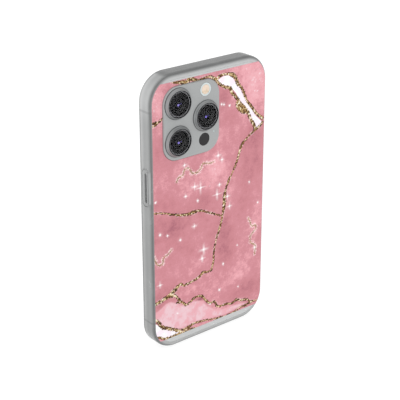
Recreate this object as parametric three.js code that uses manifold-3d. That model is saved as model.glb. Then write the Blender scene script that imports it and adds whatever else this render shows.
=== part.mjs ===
// A clear phone case with a printed back, and the generic handset that it holds.
// Millimetres. +Z is up along the long side, the printed back faces -Y, the screen faces +Y.
// The origin is below the middle of the whole object's box, on the case's bottom edge.
import * as THREE from "three";
import { mergeVertices } from "three/addons/utils/BufferGeometryUtils.js";
import Module from "manifold-3d";

const wasm = await Module();
wasm.setup();

// ---- driving dimensions: case ----
const CASE_WIDTH = 75.6;
const CASE_HEIGHT = 151;
const CASE_DEPTH = 9.5;
const CASE_CORNER = 14.2;
const WALL = 1.9;
const BACK_EDGE = 2.4; // rounding of the back edges
const LIP_EDGE = 0.7; // rounding of the front edge
const LIP_THICKNESS = 0.7;
const LIP_INSET = 3.1; // from the case's side to the lip's inner edge
const PLATE_INSET = 3; // from the case's side to the back panel's edge
const PLATE_THICKNESS = 0.7;
const FILM_THICKNESS = 0.13;
const FILM_GAP = 0.02; // between the film and the back panel
const FILM_TOP_GAP = 4; // clear strip above the print
const FILM_BOTTOM_GAP = 6; // clear strip below the print

// ---- driving dimensions: handset ----
const FIT = 0.1; // play between the handset and the pocket
const TOUCH = 0.05; // gap between pieces that lie on each other
const BAND = 1.5; // thickness of the handset's metal band
const BAND_EDGE = 0.5;
const HANDSET_DEPTH = 7.8;
const GLASS = 0.8;
const DISPLAY = 1.05;
const MIDDLE_PLATE = 1;
const PANEL_MARGIN = 2; // from the band to the display panel
const BATTERY = { width: 40, height: 92, corner: 2, thickness: 3.9, x: 10, z: -12 };
const MAIN_BOARD = { width: 18, height: 60, corner: 1.5, thickness: 2.6, x: -22, z: -8 };

// ---- camera plateau, with places from the case's middle ----
const PLATEAU = { x: -12.6, z: 49.7, width: 35.4, height: 38.4, corner: 8.5, proud: 1, edge: 0.5 };
const CUTOUT_GAP = 0.4;
const LENSES = [
  { x: -21.6, z: 60.1 },
  { x: -4.1, z: 50.3 },
  { x: -21.6, z: 40.5 },
];
const LENS_PROUD = 2; // above the plateau
const LENS_BASE_RADIUS = 8.1;
const LENS_RING_RADIUS = 7.5;
const LENS_BORE_RADIUS = 6.6;
const LENS_GLASS = { recess: 0.3, thickness: 0.4 };
const FLASH = { x: -4.2, z: 64, radius: 3.4, proud: 0.12 };
const DEPTH_SENSOR = { x: -5, z: 37.9, radius: 3.3, proud: 0.05 };
const MICROPHONE = { x: 1.2, z: 40.9, radius: 0.5, proud: 0 };
const HOLE_GAP = 0.15; // round a piece that stands in a hole

// ---- keys and their covers: z of the middle from the case's middle, lengths along Z ----
const KEY_WIDTH = 2.6;
const KEY_PROUD = 0.35;
const KEY_DEPTH = 1.3;
const KEY_PLAY = 0.4; // extra length and width of a key's slot
const GROOVE_PLAY = { length: 0.8, depth: 0.3 };
const COVER_WIDTH = 4.6;
const COVER_GAP = 0.3;
const COVER_PROUD = 0.15;
const BAR_WIDTH = 2.2;
const BAR_PROUD = 0.5;
const BAR_ROOT = 1; // how deep the bar begins inside its cover
const PRESS_GAP = 0.1; // between a cover and its key
const KEYS = [
  { key: "side_button", cover: "side_button_cover", side: -1, z: 18, keyLength: 17.6, barLength: 18 },
  { key: "volume_up_button", cover: "volume_up_cover", side: 1, z: 27, keyLength: 9.6, barLength: 10 },
  { key: "volume_down_button", cover: "volume_down_cover", side: 1, z: 14, keyLength: 9.6, barLength: 10 },
];
const COVER_MARGIN = 0.8; // from the end of a bar to the end of its cover
const RINGER = { z: 41.5, length: 5.4, width: 2, proud: 0.55, travel: 1 };
const RINGER_PLAY = { length: 1, width: 0.4 };
const RINGER_OPENING = { length: 13.5, width: 5.6 };

// ---- bottom edge ----
const PORT = { width: 9, height: 3.2, depth: 7, wall: 0.3 };
const PORT_OPENING = { width: 13.4, height: 6 };
const TONGUE = { width: 6.6, thickness: 0.7, length: 4.6 };
const SPEAKER = { x: 15.5, holes: 6, pitch: 2.3, radius: 0.7, slotLength: 14, slotWidth: 2.8 };
const SCREW = { x: 6.4, radius: 0.75, recess: 0.1, depth: 1.2 };

// ---- screen side, top and band ----
const FRONT_CAMERA = { x: 0, z: 66, radius: 2 };
const EARPIECE = { z: 70.9, length: 11, height: 0.9 };
const ANTENNA = { width: 1.2, z: 58, x: -24 };

// The plastic breaks in the metal band: two in each long side, one at the top and one at the bottom.
const ANTENNA_BREAKS = [
  { name: "left_upper", side: [-1, 0], at: ANTENNA.z },
  { name: "left_lower", side: [-1, 0], at: -ANTENNA.z },
  { name: "right_upper", side: [1, 0], at: ANTENNA.z },
  { name: "right_lower", side: [1, 0], at: -ANTENNA.z },
  { name: "top", side: [0, 1], at: ANTENNA.x },
  { name: "bottom", side: [0, -1], at: -ANTENNA.x },
];

// ---- worked out from the above ----
const MIDDLE_Z = CASE_HEIGHT / 2;
const BACK_Y = (PLATEAU.proud + LENS_PROUD - CASE_DEPTH) / 2;
const FRONT_Y = BACK_Y + CASE_DEPTH;
const WALL_FRONT_Y = FRONT_Y - LIP_THICKNESS;
const PLATE_BACK_Y = BACK_Y + FILM_THICKNESS + FILM_GAP;
const POCKET_Y = PLATE_BACK_Y + PLATE_THICKNESS;
const HANDSET_BACK_Y = POCKET_Y + TOUCH;
const HANDSET_FRONT_Y = HANDSET_BACK_Y + HANDSET_DEPTH;
const HANDSET_INSET = WALL + FIT;
const HANDSET_SIDE_X = CASE_WIDTH / 2 - HANDSET_INSET;
const MIDDLE_Y = (HANDSET_BACK_Y + HANDSET_FRONT_Y) / 2; // halfway through the handset
const PLATEAU_Y = BACK_Y - PLATEAU.proud;
const LENS_SEAT = PLATEAU_Y - (HANDSET_BACK_Y - TOUCH); // a lens's foot, counted from the plateau's face
const INSIDE_BACK_Y = HANDSET_BACK_Y + GLASS + TOUCH;
const CASE_SIDE_X = CASE_WIDTH / 2;
const CORNER_STEPS = 5; // a quarter round has twice as many sides
const BAR_STEPS = 3;
const EDGE_STEPS = 3;
const ROUND_STEPS = 28;
const INSERT_STEPS = 20;
const PIN_STEPS = 10;
const PAST = 1; // how far a cutter runs past the face that it cuts
const FAR_PAST = 3; // the same for a bar through a rounded wall
const END_FLAT = 1e-3; // what a bar's round end lacks of a true half circle

// ---- joining and cutting ----
function solid(geometry) {
  const bare = geometry.clone();
  bare.deleteAttribute("normal");
  bare.deleteAttribute("uv");
  const merged = mergeVertices(bare, 1e-4);
  return new wasm.Manifold(
    new wasm.Mesh({
      numProp: 3,
      vertProperties: merged.attributes.position.array,
      triVerts: new Uint32Array(merged.index.array),
    }),
  );
}

function geometryOf(body) {
  const mesh = body.getMesh();
  const geometry = new THREE.BufferGeometry();
  geometry.setAttribute("position", new THREE.BufferAttribute(mesh.vertProperties, 3));
  geometry.setIndex(new THREE.BufferAttribute(mesh.triVerts, 1));
  geometry.computeVertexNormals();
  return geometry;
}

function cut(blank, cutters) {
  let body = solid(blank);
  for (const cutter of cutters) body = body.subtract(solid(cutter));
  return geometryOf(body);
}

// ---- outlines and plates ----
function roundedRectangle(width, height, corner) {
  const x = width / 2 - corner;
  const y = height / 2 - corner;
  const quarter = Math.PI / 2;
  const shape = new THREE.Shape();
  shape.absarc(x, y, corner, 0, quarter, false);
  shape.absarc(-x, y, corner, quarter, 2 * quarter, false);
  shape.absarc(-x, -y, corner, 2 * quarter, 3 * quarter, false);
  shape.absarc(x, -y, corner, 3 * quarter, 4 * quarter, false);
  shape.closePath();
  return shape;
}

function caseOutline(inset) {
  return roundedRectangle(CASE_WIDTH - 2 * inset, CASE_HEIGHT - 2 * inset, CASE_CORNER - inset);
}

// A shape drawn in X and Z, as a plate from yLow to yHigh. Its edges are rounded by edge.
function plate(shape, yLow, yHigh, { edge = 0, x = 0, z = MIDDLE_Z, steps = CORNER_STEPS } = {}) {
  const geometry = new THREE.ExtrudeGeometry(shape, {
    depth: yHigh - yLow - 2 * edge,
    curveSegments: steps,
    bevelEnabled: edge > 0,
    bevelThickness: edge,
    bevelSize: edge,
    bevelOffset: -edge,
    bevelSegments: EDGE_STEPS,
  });
  return geometry.rotateX(Math.PI / 2).translate(x, yHigh - edge, z);
}

// A round disc or pin along Y.
function disc(place, yLow, yHigh, radius, steps = ROUND_STEPS) {
  return new THREE.CylinderGeometry(radius, radius, yHigh - yLow, steps)
    .translate(place.x, (yLow + yHigh) / 2, MIDDLE_Z + place.z);
}

// A bar with round ends, long along Z, that reaches from xLow to xHigh through a side wall.
function sideBar(length, width, xLow, xHigh, y, z) {
  return new THREE.ExtrudeGeometry(roundedRectangle(width, length, width / 2 - END_FLAT), {
    depth: xHigh - xLow,
    curveSegments: BAR_STEPS,
    bevelEnabled: false,
  })
    .rotateX(Math.PI / 2)
    .rotateZ(Math.PI / 2)
    .translate(xLow, y, z);
}

// A bar with round ends, wide along X, that reaches from zLow to zHigh through the bottom wall.
function bottomBar(width, height, zLow, zHigh, x) {
  return new THREE.ExtrudeGeometry(roundedRectangle(width, height, height / 2 - END_FLAT), {
    depth: zHigh - zLow,
    curveSegments: BAR_STEPS,
    bevelEnabled: false,
  }).translate(x, MIDDLE_Y, zLow);
}

// A bar through one side wall, measured outwards from the case's middle.
function barAtSide(side, length, width, inner, outer, z, y = MIDDLE_Y) {
  const low = side > 0 ? inner : -outer;
  const high = side > 0 ? outer : -inner;
  return sideBar(length, width, low, high, y, MIDDLE_Z + z);
}

function box(xLow, xHigh, yLow, yHigh, zLow, zHigh) {
  return new THREE.BoxGeometry(xHigh - xLow, yHigh - yLow, zHigh - zLow)
    .translate((xLow + xHigh) / 2, (yLow + yHigh) / 2, (zLow + zHigh) / 2);
}

// A groove in the pocket's wall that lets something proud of the handset's side slide out forwards.
function keyGroove(side, length, depth, z) {
  const inner = HANDSET_SIDE_X - PAST;
  const outer = HANDSET_SIDE_X + depth + GROOVE_PLAY.depth;
  const low = side > 0 ? inner : -outer;
  const high = side > 0 ? outer : -inner;
  const middle = MIDDLE_Z + z;
  const half = (length + GROOVE_PLAY.length) / 2;
  return box(low, high, MIDDLE_Y, WALL_FRONT_Y + PAST, middle - half, middle + half);
}

// ---- the case ----
function coverLength(key) {
  return key.barLength + 2 * COVER_MARGIN;
}

function clearBumper() {
  const overlong = WALL_FRONT_Y + 2 * BACK_EDGE;
  const blank = plate(caseOutline(0), BACK_Y, overlong, { edge: BACK_EDGE });
  const cutters = [
    box(-CASE_WIDTH, CASE_WIDTH, WALL_FRONT_Y, overlong + PAST, -PAST, CASE_HEIGHT + PAST),
    plate(caseOutline(WALL), POCKET_Y, WALL_FRONT_Y + PAST),
    plate(caseOutline(PLATE_INSET), BACK_Y - PAST, POCKET_Y + PAST),
    bottomBar(PORT_OPENING.width, PORT_OPENING.height, -FAR_PAST, WALL + FAR_PAST, 0),
  ];
  for (const key of KEYS) {
    const length = coverLength(key) + 2 * COVER_GAP;
    const width = COVER_WIDTH + 2 * COVER_GAP;
    cutters.push(barAtSide(key.side, length, width, HANDSET_SIDE_X - PAST, CASE_SIDE_X + FAR_PAST, key.z));
    cutters.push(keyGroove(key.side, key.keyLength, KEY_PROUD, key.z));
  }
  const opening = RINGER_OPENING;
  cutters.push(
    barAtSide(1, opening.length, opening.width, HANDSET_SIDE_X - PAST, CASE_SIDE_X + FAR_PAST, RINGER.z),
    keyGroove(1, RINGER.length, RINGER.proud, RINGER.z),
  );
  for (const side of [-1, 1]) {
    const { slotLength, slotWidth, x } = SPEAKER;
    cutters.push(bottomBar(slotLength, slotWidth, -FAR_PAST, WALL + FAR_PAST, side * x));
  }
  return cut(blank, cutters);
}

function screenLip() {
  const behind = WALL_FRONT_Y - 2 * LIP_EDGE;
  const blank = plate(caseOutline(0), behind, FRONT_Y, { edge: LIP_EDGE });
  return cut(blank, [
    box(-CASE_WIDTH, CASE_WIDTH, behind - PAST, WALL_FRONT_Y, -PAST, CASE_HEIGHT + PAST),
    plate(caseOutline(LIP_INSET), WALL_FRONT_Y - PAST, FRONT_Y + PAST),
  ]);
}

function cameraCutout() {
  const { width, height, corner, x, z } = PLATEAU;
  const gap = CUTOUT_GAP;
  const outline = roundedRectangle(width + 2 * gap, height + 2 * gap, corner + gap);
  return plate(outline, BACK_Y - PAST, POCKET_Y + PAST, { x, z: MIDDLE_Z + z });
}

function backPlate() {
  const blank = plate(caseOutline(PLATE_INSET + TOUCH), PLATE_BACK_Y, POCKET_Y);
  return cut(blank, [cameraCutout()]);
}

function printFilm() {
  const blank = plate(caseOutline(PLATE_INSET + TOUCH), BACK_Y, BACK_Y + FILM_THICKNESS);
  const wide = CASE_WIDTH;
  return cut(blank, [
    cameraCutout(),
    box(-wide, wide, BACK_Y - PAST, POCKET_Y, CASE_HEIGHT - FILM_TOP_GAP, CASE_HEIGHT + PAST),
    box(-wide, wide, BACK_Y - PAST, POCKET_Y, -PAST, FILM_BOTTOM_GAP),
  ]);
}

// A plug in the side wall, with a raised bar along it for the fingertip.
function buttonCover(key) {
  const inner = HANDSET_SIDE_X + KEY_PROUD + PRESS_GAP;
  const face = CASE_SIDE_X + COVER_PROUD;
  const body = barAtSide(key.side, coverLength(key), COVER_WIDTH, inner, face, key.z);
  const bar = barAtSide(key.side, key.barLength, BAR_WIDTH, inner + BAR_ROOT, CASE_SIDE_X + BAR_PROUD, key.z);
  return geometryOf(solid(body).add(solid(bar)));
}

// ---- the handset ----
function handsetBlank() {
  return plate(caseOutline(HANDSET_INSET), HANDSET_BACK_Y, HANDSET_FRONT_Y, { edge: BAND_EDGE });
}

function handsetFrame() {
  const inside = caseOutline(HANDSET_INSET + BAND);
  const plateFront = HANDSET_FRONT_Y - GLASS - DISPLAY - 3 * TOUCH;
  const inner = HANDSET_SIDE_X - BAND - PAST;
  const outer = HANDSET_SIDE_X + FAR_PAST;
  const switchLength = RINGER.length + RINGER_PLAY.length;
  const switchWidth = RINGER.width + RINGER.travel + RINGER_PLAY.width;
  const portTop = HANDSET_INSET + PORT.depth + PAST;
  const cutters = [
    plate(inside, HANDSET_BACK_Y - PAST, plateFront - MIDDLE_PLATE),
    plate(inside, plateFront, HANDSET_FRONT_Y + PAST),
    bottomBar(PORT.width + 2 * HOLE_GAP, PORT.height + 2 * HOLE_GAP, 0, portTop, 0),
    barAtSide(1, switchLength, switchWidth, inner, outer, RINGER.z),
    ...ANTENNA_BREAKS.map((piece) => antennaSlab(piece, 0)),
  ];
  for (const key of KEYS) {
    cutters.push(barAtSide(key.side, key.keyLength + KEY_PLAY, KEY_WIDTH + KEY_PLAY, inner, outer, key.z));
  }
  for (const side of [-1, 1]) {
    cutters.push(bottomPin(side * SCREW.x, SCREW.radius + HOLE_GAP, 0, HANDSET_INSET + BAND + PAST));
    for (let hole = 0; hole < SPEAKER.holes; hole += 1) {
      const x = SPEAKER.x + (hole - (SPEAKER.holes - 1) / 2) * SPEAKER.pitch;
      cutters.push(bottomPin(side * x, SPEAKER.radius, 0, HANDSET_INSET + BAND + PAST));
    }
  }
  return cut(handsetBlank(), cutters);
}

// The stretch of band that one break takes up, less a gap all round.
function antennaSlab({ side: [toX, toZ], at }, gap) {
  const half = ANTENNA.width / 2 - gap;
  const reach = toX === 0 ? CASE_HEIGHT / 2 - HANDSET_INSET : HANDSET_SIDE_X;
  const inner = reach - BAND + gap;
  const outer = reach + PAST;
  const across = [Math.min(inner, outer), Math.max(inner, outer)];
  const [low, high] = toX + toZ > 0 ? across : [-across[1], -across[0]];
  const yLow = HANDSET_BACK_Y - PAST;
  const yHigh = HANDSET_FRONT_Y + PAST;
  if (toX === 0) return box(at - half, at + half, yLow, yHigh, MIDDLE_Z + low, MIDDLE_Z + high);
  return box(low, high, yLow, yHigh, MIDDLE_Z + at - half, MIDDLE_Z + at + half);
}

function antennaBreak(piece) {
  return geometryOf(solid(handsetBlank()).intersect(solid(antennaSlab(piece, TOUCH))));
}

// A round pin along Z at the bottom edge.
function bottomPin(x, radius, zLow, zHigh) {
  return new THREE.CylinderGeometry(radius, radius, zHigh - zLow, PIN_STEPS)
    .rotateX(Math.PI / 2)
    .translate(x, MIDDLE_Y, (zLow + zHigh) / 2);
}

function innerPanel(yLow, yHigh) {
  return plate(caseOutline(HANDSET_INSET + BAND + 2 * TOUCH), yLow, yHigh);
}

function backGlass() {
  return innerPanel(HANDSET_BACK_Y, HANDSET_BACK_Y + GLASS);
}

function displayGlass() {
  const back = HANDSET_FRONT_Y - GLASS;
  const { length, height } = EARPIECE;
  return cut(innerPanel(back, HANDSET_FRONT_Y), [
    disc(FRONT_CAMERA, back - PAST, HANDSET_FRONT_Y + PAST, FRONT_CAMERA.radius + HOLE_GAP),
    earpieceBar(length + 2 * HOLE_GAP, height + 2 * HOLE_GAP, back - PAST, HANDSET_FRONT_Y + PAST),
  ]);
}

function displayPanel() {
  const front = HANDSET_FRONT_Y - GLASS - TOUCH;
  return plate(caseOutline(HANDSET_INSET + BAND + PANEL_MARGIN), front - DISPLAY, front);
}

function earpieceBar(length, height, yLow, yHigh) {
  const outline = roundedRectangle(length, height, height / 2 - END_FLAT);
  return plate(outline, yLow, yHigh, { z: MIDDLE_Z + EARPIECE.z });
}

function frontCameraWindow() {
  return disc(FRONT_CAMERA, HANDSET_FRONT_Y - GLASS, HANDSET_FRONT_Y - TOUCH, FRONT_CAMERA.radius);
}

function earpieceMesh() {
  const { length, height } = EARPIECE;
  return earpieceBar(length, height, HANDSET_FRONT_Y - GLASS, HANDSET_FRONT_Y - 2 * TOUCH);
}

function cameraPlateau() {
  const { width, height, corner, x, z, edge } = PLATEAU;
  const base = HANDSET_BACK_Y - TOUCH;
  const outline = roundedRectangle(width, height, corner);
  const blank = plate(outline, PLATEAU_Y, base + 2 * edge, { edge, x, z: MIDDLE_Z + z });
  const cutters = [box(-CASE_WIDTH, CASE_WIDTH, base, base + 2 * edge + PAST, 0, CASE_HEIGHT)];
  for (const lens of LENSES) {
    cutters.push(disc(lens, PLATEAU_Y - PAST, base + PAST, LENS_BASE_RADIUS + HOLE_GAP));
  }
  for (const part of [FLASH, DEPTH_SENSOR, MICROPHONE]) {
    cutters.push(disc(part, PLATEAU_Y - PAST, base + PAST, part.radius + HOLE_GAP));
  }
  return cut(blank, cutters);
}

// A turned piece whose axis points out of the back at a lens. Heights count from the plateau's face.
function turned(points, place) {
  const profile = points.map(([radius, height]) => new THREE.Vector2(radius, height));
  return new THREE.LatheGeometry(profile, ROUND_STEPS)
    .rotateX(Math.PI)
    .translate(place.x, PLATEAU_Y, MIDDLE_Z + place.z);
}

function lensRing(lens) {
  const bore = LENS_BORE_RADIUS;
  return turned([
    [bore, LENS_SEAT],
    [LENS_BASE_RADIUS, LENS_SEAT],
    [LENS_BASE_RADIUS, 0.3],
    [LENS_BASE_RADIUS - 0.25, 0.5],
    [LENS_RING_RADIUS + 0.1, 0.6],
    [LENS_RING_RADIUS, LENS_PROUD - 0.25],
    [LENS_RING_RADIUS - 0.25, LENS_PROUD],
    [bore + 0.15, LENS_PROUD],
    [bore, LENS_PROUD - 0.2],
    [bore, LENS_SEAT],
  ], lens);
}

function lensBarrel(lens) {
  const outer = LENS_BORE_RADIUS - HOLE_GAP;
  return turned([
    [0, LENS_SEAT],
    [outer, LENS_SEAT],
    [outer, 1.2],
    [5, 1.1],
    [4.6, 0.4],
    [3.3, 0.3],
    [2.9, -0.5],
    [0, -0.5],
  ], lens);
}

function lensGlass(lens) {
  const outside = PLATEAU_Y - LENS_PROUD + LENS_GLASS.recess;
  return disc(lens, outside, outside + LENS_GLASS.thickness, LENS_BORE_RADIUS - HOLE_GAP);
}

function plateauInsert(part) {
  return disc(part, PLATEAU_Y - part.proud, HANDSET_BACK_Y - TOUCH, part.radius, INSERT_STEPS);
}

function handsetKey(key) {
  const inner = HANDSET_SIDE_X - KEY_DEPTH;
  return barAtSide(key.side, key.keyLength, KEY_WIDTH, inner, HANDSET_SIDE_X + KEY_PROUD, key.z);
}

// At rest the switch is at the end of its slot next to the screen.
function ringerSwitch() {
  const { length, width, proud, travel, z } = RINGER;
  const y = MIDDLE_Y + travel / 2;
  return barAtSide(1, length, width, HANDSET_SIDE_X - KEY_DEPTH, HANDSET_SIDE_X + proud, z, y);
}

// The socket is a flat tube, closed at its inner end, with the contact tongue standing in it.
function portShell() {
  const mouth = HANDSET_INSET + TOUCH;
  const { width, height, depth, wall } = PORT;
  return cut(bottomBar(width, height, mouth, mouth + depth, 0), [
    bottomBar(width - 2 * wall, height - 2 * wall, mouth - PAST, mouth + depth - wall, 0),
  ]);
}

function portTongue() {
  const { width, thickness, length } = TONGUE;
  const root = HANDSET_INSET + PORT.depth - PORT.wall - TOUCH;
  return new THREE.BoxGeometry(width, thickness, length).translate(0, MIDDLE_Y, root - length / 2);
}

function bottomScrew(side) {
  return bottomPin(side * SCREW.x, SCREW.radius, HANDSET_INSET + SCREW.recess, HANDSET_INSET + SCREW.depth);
}

// A flat block on the inside of the back glass.
function innerBlock({ width, height, corner, thickness, x, z }) {
  const outline = roundedRectangle(width, height, corner);
  const place = { x, z: MIDDLE_Z + z, steps: BAR_STEPS };
  return plate(outline, INSIDE_BACK_Y, INSIDE_BACK_Y + thickness, place);
}

// ---- finishes ----
function finish(color, roughness, metalness = 0, opacity = 1) {
  return new THREE.MeshStandardMaterial({ color, roughness, metalness, opacity, transparent: opacity < 1 });
}

const FINISHES = {
  clearRubber: finish("#b8bcbd", 0.25, 0, 0.45),
  clearPlate: finish("#d8dada", 0.15, 0, 0.35),
  print: finish("#dd95a0", 0.4),
  bandMetal: finish("#8f9192", 0.35, 0.9),
  bandPlastic: finish("#77797a", 0.5),
  satinGlass: finish("#a8aaaa", 0.45, 0.1),
  ringMetal: finish("#4a4a4c", 0.25, 0.9),
  barrelBlack: finish("#141416", 0.4),
  lensGlass: finish("#0e0e12", 0.05),
  warmDiffuser: finish("#ebdcc8", 0.35),
  sensorBlack: finish("#2c2c2e", 0.3),
  screenGlass: finish("#08080a", 0.05),
  screenPanel: finish("#101012", 0.5),
  socketMetal: finish("#9a9a98", 0.4, 0.8),
  batteryWrap: finish("#262628", 0.6),
  board: finish("#1f3d2c", 0.6),
};

// ---- assembly ----
const assembly = new THREE.Group();

function add(name, geometry, material) {
  const mesh = new THREE.Mesh(geometry, material);
  mesh.name = name;
  assembly.add(mesh);
}

add("clear_bumper", clearBumper(), FINISHES.clearRubber);
add("screen_lip", screenLip(), FINISHES.clearRubber);
add("back_plate", backPlate(), FINISHES.clearPlate);
add("print_film", printFilm(), FINISHES.print);
add("handset_frame", handsetFrame(), FINISHES.bandMetal);
for (const piece of ANTENNA_BREAKS) {
  add(`antenna_break_${piece.name}`, antennaBreak(piece), FINISHES.bandPlastic);
}
add("back_glass", backGlass(), FINISHES.satinGlass);
add("camera_plateau", cameraPlateau(), FINISHES.satinGlass);
LENSES.forEach((lens, index) => {
  add(`lens_ring_${index + 1}`, lensRing(lens), FINISHES.ringMetal);
  add(`lens_barrel_${index + 1}`, lensBarrel(lens), FINISHES.barrelBlack);
  add(`lens_glass_${index + 1}`, lensGlass(lens), FINISHES.lensGlass);
});
add("flash_diffuser", plateauInsert(FLASH), FINISHES.warmDiffuser);
add("depth_sensor_window", plateauInsert(DEPTH_SENSOR), FINISHES.sensorBlack);
add("camera_microphone", plateauInsert(MICROPHONE), FINISHES.barrelBlack);
for (const key of KEYS) {
  add(key.cover, buttonCover(key), FINISHES.clearRubber);
  add(key.key, handsetKey(key), FINISHES.bandMetal);
}
add("ringer_switch", ringerSwitch(), FINISHES.bandMetal);
add("display_glass", displayGlass(), FINISHES.screenGlass);
add("display_panel", displayPanel(), FINISHES.screenPanel);
add("front_camera_window", frontCameraWindow(), FINISHES.lensGlass);
add("earpiece_mesh", earpieceMesh(), FINISHES.barrelBlack);
add("port_shell", portShell(), FINISHES.socketMetal);
add("port_tongue", portTongue(), FINISHES.barrelBlack);
add("battery", innerBlock(BATTERY), FINISHES.batteryWrap);
add("main_board", innerBlock(MAIN_BOARD), FINISHES.board);
add("bottom_screw_left", bottomScrew(-1), FINISHES.socketMetal);
add("bottom_screw_right", bottomScrew(1), FINISHES.socketMetal);

export default assembly;
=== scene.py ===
import math

import bmesh
import bpy
import numpy as np
from mathutils import Matrix, Vector


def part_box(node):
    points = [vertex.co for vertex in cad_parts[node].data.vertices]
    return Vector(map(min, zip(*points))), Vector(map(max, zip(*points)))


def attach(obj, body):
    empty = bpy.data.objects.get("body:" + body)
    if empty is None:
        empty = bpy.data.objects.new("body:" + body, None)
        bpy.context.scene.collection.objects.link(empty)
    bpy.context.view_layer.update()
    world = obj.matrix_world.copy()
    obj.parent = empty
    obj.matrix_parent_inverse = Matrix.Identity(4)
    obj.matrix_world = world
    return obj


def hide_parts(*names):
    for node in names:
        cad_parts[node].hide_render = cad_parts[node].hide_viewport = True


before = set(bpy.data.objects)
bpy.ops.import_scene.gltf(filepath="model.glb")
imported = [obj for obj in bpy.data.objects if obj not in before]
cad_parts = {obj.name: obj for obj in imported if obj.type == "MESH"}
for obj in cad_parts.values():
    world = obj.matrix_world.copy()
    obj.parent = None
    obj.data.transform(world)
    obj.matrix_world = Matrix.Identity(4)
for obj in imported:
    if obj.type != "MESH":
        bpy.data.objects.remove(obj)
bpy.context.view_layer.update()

# ---- clear bumper ----
# The flexible frame of the case and the lip over the screen's edge are one clear moulding. Its back
# edges are well rounded, and slots are left in it for the keys, the switch, the socket and the speakers.

# Every shape is drawn in millimetres, with x and z counted from the case's middle and y from the frame's
# own zero, and is then set in its place in metres.
MM = 0.001
case_low, case_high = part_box("clear_bumper")
MIDDLE_Z = (case_low.z + case_high.z) / 2


def size_of(node):
    """A part's width, depth and height."""
    low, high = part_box(node)
    return (high.x - low.x) / MM, (high.y - low.y) / MM, (high.z - low.z) / MM


def place_of(node):
    """A part's middle across and up."""
    low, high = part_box(node)
    return (low.x + high.x) / 2 / MM, ((low.z + high.z) / 2 - MIDDLE_Z) / MM


def ends_of(node):
    """The heights of a part's lower and upper ends."""
    return tuple((corner.z - MIDDLE_Z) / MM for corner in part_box(node))


def shift(bm, x, y, z):
    """Moves a shape."""
    bmesh.ops.translate(bm, vec=(x, y, z), verts=bm.verts)


def turn(bm, quarters, axis):
    """Turns a shape by quarter turns about one axis."""
    bmesh.ops.rotate(bm, cent=(0, 0, 0), matrix=Matrix.Rotation(quarters * math.pi / 2, 3, axis),
                     verts=bm.verts)


def flat_shape(width, height, corner, x=0, z=0, y=0, steps=18):
    """A flat face with four round corners, seen from the printed side."""
    bm = bmesh.new()
    bmesh.ops.create_grid(bm, x_segments=1, y_segments=1, size=0.5)
    bmesh.ops.scale(bm, vec=(width, height, 1), verts=bm.verts)
    bmesh.ops.bevel(bm, geom=bm.verts[:], offset=corner, affect="VERTICES", segments=steps,
                    profile=0.5, material=-1)
    turn(bm, 1, "X")
    shift(bm, x, y, z)
    return bm


def ring_edges(bm, y):
    """The edges that lie in one plane across the depth."""
    return [edge for edge in bm.edges if all(abs(v.co.y - y) < 1e-4 for v in edge.verts)]


def slab(width, height, corner, y_back, y_front, x=0, z=0, back_edge=0, front_edge=0, steps=18,
         edge_steps=6):
    """A flat shape given its thickness, with its two rims rounded."""
    bm = flat_shape(width, height, corner, x, z, y_back, steps)
    grown = bmesh.ops.extrude_face_region(bm, geom=bm.faces[:])["geom"]
    front = [item for item in grown if isinstance(item, bmesh.types.BMVert)]
    bmesh.ops.translate(bm, vec=(0, y_front - y_back, 0), verts=front)
    bmesh.ops.recalc_face_normals(bm, faces=bm.faces)
    for y, edge in ((y_back, back_edge), (y_front, front_edge)):
        if edge:
            bmesh.ops.bevel(bm, geom=ring_edges(bm, y), offset=edge, affect="EDGES", segments=edge_steps,
                            profile=0.5, material=-1, clamp_overlap=True)
    return bm


def case_slab(inset, y_back, y_front, **edges):
    """A slab that follows the case's outline at an even distance inside it."""
    return slab(CASE_WIDTH - 2 * inset, CASE_HEIGHT - 2 * inset, CASE_CORNER - inset, y_back, y_front,
                **edges)


END_FLAT = 0.01  # keeps a short flat between the two round corners of a bar's end


def side_slab(side, length, width, x_low, x_high, y, z, outer_edge=0):
    """A bar with round ends in the side wall. It reaches from x_low to x_high outwards."""
    bm = slab(width, length, width / 2 - END_FLAT, -x_high, -x_low, back_edge=outer_edge, steps=8,
              edge_steps=4)
    turn(bm, side, "Z")
    shift(bm, 0, y, z)
    return bm


def bottom_slab(width, height, z_low, z_high, x, y):
    """A bar with round ends that goes through the bottom edge."""
    bm = slab(width, height, height / 2 - END_FLAT, z_low, z_high, steps=8)
    turn(bm, -1, "X")
    bmesh.ops.scale(bm, vec=(1, 1, -1), verts=bm.verts)
    shift(bm, x, y, 0)
    bmesh.ops.recalc_face_normals(bm, faces=bm.faces)
    return bm


def block(x_low, x_high, y_low, y_high, z_low, z_high):
    """A plain box between two corners."""
    bm = bmesh.new()
    bmesh.ops.create_cube(bm, size=1)
    bmesh.ops.scale(bm, vec=(x_high - x_low, y_high - y_low, z_high - z_low), verts=bm.verts)
    shift(bm, (x_low + x_high) / 2, (y_low + y_high) / 2, (z_low + z_high) / 2)
    return bm


def set_down(bm, name):
    """Turns a shape in millimetres into an object in its place."""
    bmesh.ops.scale(bm, vec=(MM, MM, MM), verts=bm.verts)
    shift(bm, 0, 0, MIDDLE_Z)
    mesh = bpy.data.meshes.new(name)
    bm.to_mesh(mesh)
    bm.free()
    piece = bpy.data.objects.new(name, mesh)
    bpy.context.collection.objects.link(piece)
    return piece


def settle(piece):
    """Makes the piece's modifiers part of its mesh."""
    graph = bpy.context.evaluated_depsgraph_get()
    done = bpy.data.meshes.new_from_object(piece.evaluated_get(graph))
    piece.modifiers.clear()
    piece.data = done


def work(piece, operation, *tools):
    """Cuts other shapes out of a piece, or joins them to it."""
    for bm in tools:
        tool = set_down(bm, "tool")
        change = piece.modifiers.new("work", "BOOLEAN")
        change.object = tool
        change.operation = operation
        change.solver = "EXACT"
        settle(piece)
        bpy.data.objects.remove(tool)
    return piece


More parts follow.
